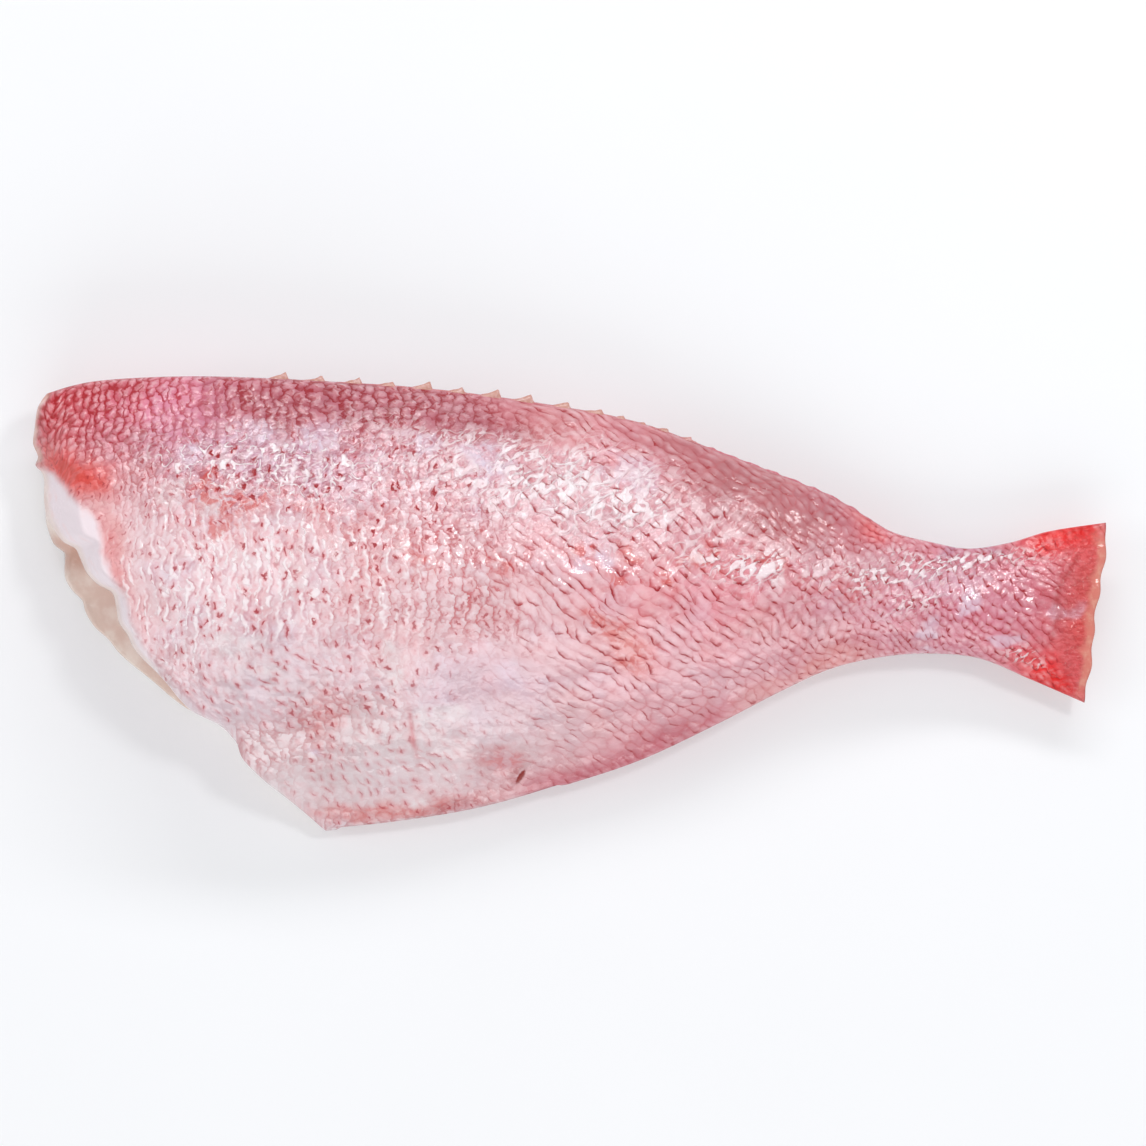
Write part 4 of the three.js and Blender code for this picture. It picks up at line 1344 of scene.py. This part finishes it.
class SkinPaint(Paint):
    """Material of the wet skin, with the values that its mesh carries. Grain sizes are in millimetres."""

    def __init__(self):
        super().__init__("wet_skin")
        self.plane = self.attribute("plane")
        self.columns = self.attribute("columns")
        self.rows = self.attribute("rows")
        self.along, _, self.rays = self.parts(self.plane)
        self.column, _, self.veins = self.parts(self.columns)
        self.squiggles = self.parts(self.rows)[2]
        self.turn, self.film_and_highlight, self.slit = self.parts(self.attribute("areas"))
        self.slant, self.blood, self.hollow = self.parts(self.attribute("stains"))
        self.grooves, self.pits, self.ridges = self.parts(self.attribute("marks"))
        self.flesh, self.lining, self.tail = self.parts(self.attribute("cut"))
        self.dry, self.corner, self.sliced = self.parts(self.attribute("films"))
        self.bare = 1 - (self.flesh + self.lining + self.tail).least(1.0)
        self.fibres = self.noise(1.4, 4.0, 7.0)
        shake = COLUMN_SHAKE - self.slant * SLANT_CALM
        upright = cell_marks(self, self.warped(self.columns, shake), self.slant)
        slanted = row_marks(self, self.warped(self.rows, ROW_SHAKE))
        marks = [a + (b - a) * self.turn for a, b in zip(upright, slanted)]
        self.shadow, self.top, self.pit, self.halo, self.rim, self.vein = marks
        patchy = self.grain(4.2, 2.0).rise(0.36, 0.58)
        self.shadow = self.shadow * (patchy * 0.65 + 0.35 + (1 - self.turn) * 0.4).least(1.0)
        self.ridge, self.lee = self.winding_ridges()
        self.flakes, self.crumple = self.wet_film()

    def grain(self, size, detail, distortion=0.0, place=None, output=0):
        settings = {"Scale": 1 / size, "Detail": detail, "Distortion": distortion}
        settings["Vector"] = place or self.plane
        return self.node("ShaderNodeTexNoise", output, settings, noise_dimensions="2D")

    def warped(self, lattice, amount):
        shake = self.vector("SUBTRACT", self.grain(1.5, 2.0, output=1), (0.5, 0.5, 0.5))
        shake = self.node("ShaderNodeVectorMath", 0, {0: shake, "Scale": amount}, operation="SCALE")
        return self.vector("ADD", lattice, shake)

    def winding_ridges(self):
        """Pale upright ridges of the fore flank and white squiggles of its shiny patch, whose white is
        partly painted highlight, and the shade in their lee.
        """
        swing = self.column + (self.grain(3.4, 2.0) - 0.5) * 1.5
        f = swing.fraction()
        kept = self.grain(2.9, 1.0).rise(0.4, 0.55)
        strong = self.grain(4.3, 2.0).rise(0.3, 0.6)
        net = ((f - 0.5).bell(0.21) * kept).most(self.rim * (1 - kept) * self.hollow)
        squiggle = (self.grain(3.6, 1.0, 0.3) - 0.5).bell(0.042) * self.grain(2.2, 1.0).rise(0.42, 0.52)
        ridge = net * self.ridges * (strong * 0.5 + 0.5) * (1 - self.blood * 0.5)
        ridge = ridge.most(squiggle * self.squiggles).rise(0.1, 0.7)
        ridge = ridge * (1 - (self.halo * self.pits).least(1.0) * 0.8)
        return ridge, (f - 0.82).bell(0.16) * kept * self.ridges

    def wet_film(self):
        """Flake-shaped painted highlights of the crinkled wet film, in streaks across the rows, and the
        film's crumples.
        """
        settings = {"Vector": self.plane, "Angle": -FLAKE_SLOPE}
        leaned = self.node("ShaderNodeVectorRotate", 0, settings, rotation_type="Z_AXIS")
        leaned = self.vector("MULTIPLY", leaned, (1 / FLAKE_LENGTH, 1 / FLAKE_WIDTH, 1))
        stalk = self.along.rise(*STALK_FROM_TO)
        crumple = self.grain(1.0, 4.0, 0.8, leaned)
        crumple = crumple + (self.grain(0.55, 3.0, 0.5, leaned) - crumple) * stalk
        folds = (self.grain(1.7, 1.0, 0.5, leaned) - 0.5).bell(0.03) * (0.7 - stalk * 0.6)
        flakes = crumple.rise(0.5, 0.56).most(folds) * self.grain(5.2, 2.0).rise(0.28, 0.48) * self.film_and_highlight
        return flakes, crumple

    def skin_colour(self):
        tint = self.attribute("tint")
        # Painted highlight on the pad tops, then painted shadow in the grooves on the pads' shaded side
        colour = self.mixed(tint, PALE_AND_HIGHLIGHT_PINK, self.top * self.grooves.least(1.0) * TOP_HIGHLIGHT_SHARE)
        groove = self.shadow * self.grooves * (1 - self.turn * 0.08)
        colour = self.mixed(colour, self.shaded(tint, GROOVE_SHADE, 1.0), groove)
        plum = self.grain(2.0, 2.0, 0.4).rise(0.5, 0.6) * self.squiggles
        colour = self.mixed(colour, HOLLOW_PLUM, plum * PLUM_SHARE)
        colour = self.shaded(colour, HALO_SHADE, self.halo * self.pits * (1.2 - self.turn * 0.6))
        colour = self.shaded(colour, LEE_SHADE, self.lee)
        colour = self.mixed(colour, VEIN_RED, self.vein * self.veins)
        drawn = self.vector("MULTIPLY", self.plane, (RAY_STRETCH, 1, 1))
        ray = self.grain(0.8, 3.0, 0.4, drawn).rise(0.42, 0.6) * self.rays
        colour = self.shaded(colour, RAY_SHADE, ray * RAY_SHARE)
        blotch = self.grain(2.2, 2.0, 0.5).rise(0.36, 0.62)
        colour = self.mixed(colour, BLOOD_RED, (self.blood * blotch).least(BLOOD_MOST))
        # Painted shade in the gaps between the film's crumples, then the painted highlights
        gap = self.crumple.rise(0.46, 0.36) * self.film_and_highlight
        colour = self.shaded(colour, HALO_SHADE, gap * GAP_SHADE_SHARE)
        colour = self.mixed(colour, HIGHLIGHT_WHITE, self.flakes * HIGHLIGHT_SHARE)
        # Pale ridges, and squiggles whose white is partly painted highlight
        colour = self.mixed(colour, RIDGE_AND_GLINT_WHITE, self.ridge * RIDGE_SHARE)
        pit = self.pit * self.pits * (0.9 - self.turn * 0.1 - self.slant * 0.3)
        return self.mixed(colour, PIT_RED, pit)

    def with_cuts(self, colour):
        """Colour with the flesh, the belly lining, the tail's end and the vent laid over it."""
        clouds = self.noise(5, 3.0, 5.0)
        waves = {"Scale": FLESH_LAYERS, "Distortion": 4.0, "Detail": 2.0, "Detail Scale": 0.6}
        waves["Vector"] = self.node("ShaderNodeTexCoord", "Object")
        layers = self.node("ShaderNodeTexWave", "Fac", waves, wave_type="RINGS", rings_direction="X")
        meat = self.mixed(FLESH_WHITE, FLESH_BLUSH, clouds.rise(0.5, 0.8))
        meat = self.mixed(meat, LAYER_PINK, layers.rise(0.75, 1.0) * self.sliced * LAYER_SHARE)
        lining = self.mixed(LINING_TAN, LINING_PALE, clouds.rise(0.4, 0.65))
        # Painted shade at the cavity's mouth
        lining = self.mixed(lining, LINING_SHADE, self.corner * CORNER_SHADE_SHARE)
        stump = self.mixed(TAIL_TAN, STUMP_PALE, self.fibres.rise(0.45, 0.7))
        for over, share in ((meat, self.flesh), (lining, self.lining), (stump, self.tail)):
            colour = self.mixed(colour, over, share)
        return self.mixed(colour, VENT_RED, self.slit.rise(0.3, 0.8))

    def fine_height(self):
        pads = (self.top * TOP_HEIGHT - self.shadow * GROOVE_DEPTH) * self.grooves.least(0.9)
        marks = self.ridge * RIDGE_HEIGHT + self.flakes * FLAKE_HEIGHT + pads * (1 - self.turn * 0.4)
        marks = marks - self.pit * self.pits * PIT_DEPTH
        wrinkle = self.grain(1.6, 2.0, 0.6) * (self.film_and_highlight * 0.3 + self.rays * 0.35 + 0.08)
        fine = self.grain(0.7, 2.0) * (self.film_and_highlight * 0.1 + self.rays * 0.1 + 0.02)
        crinkle = wrinkle + fine + self.crumple * self.film_and_highlight * CRUMPLE_HEIGHT
        return (marks + crinkle) * self.bare + self.fibres * (1 - self.bare) * FIBRE_HEIGHT

    def dullness(self):
        """How far the wet coat is missing, in grooves, pits, the vent, dry skin and flesh."""
        dull = self.shadow * self.grooves * DULL_GROOVES
        for other in (self.pit * self.pits, self.slit, self.dry, self.flesh * DULL_FLESH):
            dull = dull.most(other)
        return dull.least(1.0) * DULL_MOST


def skin_material():
    paint = SkinPaint()
    bump = paint.node("ShaderNodeBump", 0, {"Height": paint.fine_height(), "Distance": MM, "Strength": 1.0})
    return paint.finish(
        Base_Color=paint.with_cuts(paint.skin_colour()), Normal=bump, Specular_IOR_Level=SKIN_SPECULAR,
        Roughness=SKIN_ROUGHNESS + (1 - paint.bare) * CUT_ROUGHER, Coat_Weight=1 - paint.dullness(),
        Coat_Roughness=COAT_ROUGHNESS, Coat_IOR=COAT_IOR, Coat_Normal=bump,
    )


def fin_material():
    paint = Paint("cut_fin")
    streak = paint.noise(0.8, 3.0, 2.0)
    colour = paint.mixed(paint.attribute("tint"), PALE_AND_HIGHLIGHT_PINK, streak.rise(0.45, 0.75) * 0.3)
    bump = paint.node("ShaderNodeBump", 0, {"Height": streak, "Distance": 0.3 * MM, "Strength": 0.7})
    return paint.finish(
        Base_Color=colour, Roughness=0.3 + streak * 0.2, Normal=bump, Coat_Weight=0.5, Coat_Roughness=0.15
    )


builder = body()
offset = np.array([
    cad_low[0] / MM - head_cut(LINE_SAMPLES)[:, 0].min(),
    cad_low[1] / MM - belly_line(LINE_SAMPLES)[:, 1].min(),
    0,
])
fish = builder.build("dressed_fish_skin", offset)
fish.data.materials.append(skin_material())
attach(fish, "root")
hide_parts("dressed_fish")

stubs = fin_stubs().build("fin_stubs", offset)
stubs.data.materials.append(fin_material())
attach(stubs, "root")

# Floor
FLOOR_SIZE = 3.0
FLOOR_TONES = [(0.63, 0.64, 0.66), (0.65, 0.66, 0.68)]
FLOOR_GRAIN = 60
FLOOR_ROUGHNESS = 0.6
FLOOR_GLOW = 0.26
floor_mesh = bpy.data.meshes.new("floor")
edge = FLOOR_SIZE / 2
corners = [(-edge, -edge, 0), (edge, -edge, 0), (edge, edge, 0), (-edge, edge, 0)]
floor_mesh.from_pydata(corners, [], [(0, 1, 2, 3)])
floor = bpy.data.objects.new("floor", floor_mesh)
bpy.context.scene.collection.objects.link(floor)
floor_paint = Paint("pale_floor")
floor_tone = floor_paint.mixed(*FLOOR_TONES, floor_paint.noise(FLOOR_GRAIN, 2.0, 0.0))
floor_paint.finish(Base_Color=floor_tone, Roughness=FLOOR_ROUGHNESS)
floor_paint.finish(Emission_Color=(1, 1, 1, 1), Emission_Strength=FLOOR_GLOW)
floor.data.materials.append(floor_paint.material)

# Light: soft boxes on all four sides, a small one for sparkle, and a pale room
ROOM_COLOUR = (0.97, 0.98, 1, 1)
ROOM_STRENGTH = 0.38
LIGHT_AIM = (0, 0, 0.02)
# Name, place, size, power
LIGHTS = [
    ("key", (0.12, 0.98, 0.72), (1.1, 0.16), 6.8),
    ("front", (0.1, -1.1, 0.7), (1.6, 0.7), 7.4),
    ("left", (-1.1, 0.1, 0.8), (0.8, 0.8), 3.6),
    ("right", (1.1, 0.1, 0.8), (0.8, 0.8), 1.4),
    ("spark", (0.42, 0.36, 1.1), (0.14, 0.14), 2.6),
]
scene = bpy.context.scene
scene.view_settings.view_transform = "Standard"
scene.view_settings.look = "None"
world = bpy.data.worlds.new("room")
scene.world = world
world.use_nodes = True
world.node_tree.nodes["Background"].inputs["Color"].default_value = ROOM_COLOUR
world.node_tree.nodes["Background"].inputs["Strength"].default_value = ROOM_STRENGTH
for name, place, size, power in LIGHTS:
    light = bpy.data.lights.new(name, "AREA")
    light.shape = "RECTANGLE"
    light.size, light.size_y = size
    light.energy = power
    lamp = bpy.data.objects.new(name, light)
    lamp.location = place
    direction = Vector(LIGHT_AIM) - Vector(place)
    lamp.rotation_euler = direction.to_track_quat("-Z", "Y").to_euler()
    scene.collection.objects.link(lamp)

# Camera straight above, on a long lens
PHOTO_SIDE = 1146
PHOTO_SCALE = BODY_LENGTH / 1073
PHOTO_MIDDLE = (571.5, 605)
CAMERA_HEIGHT = 1.4
OUTLINE_HEIGHT = 0.012
SENSOR = 36
camera_data = bpy.data.cameras.new("camera")
camera_data.sensor_width = SENSOR
camera_data.lens = SENSOR * (CAMERA_HEIGHT - OUTLINE_HEIGHT) / (PHOTO_SIDE * PHOTO_SCALE * MM)
camera = bpy.data.objects.new("camera", camera_data)
camera.location = (
    ((PHOTO_SIDE / 2 - PHOTO_MIDDLE[0]) * PHOTO_SCALE + offset[0]) * MM,
    ((PHOTO_MIDDLE[1] - PHOTO_SIDE / 2) * PHOTO_SCALE + offset[1]) * MM,
    CAMERA_HEIGHT,
)
scene.collection.objects.link(camera)
scene.camera = camera
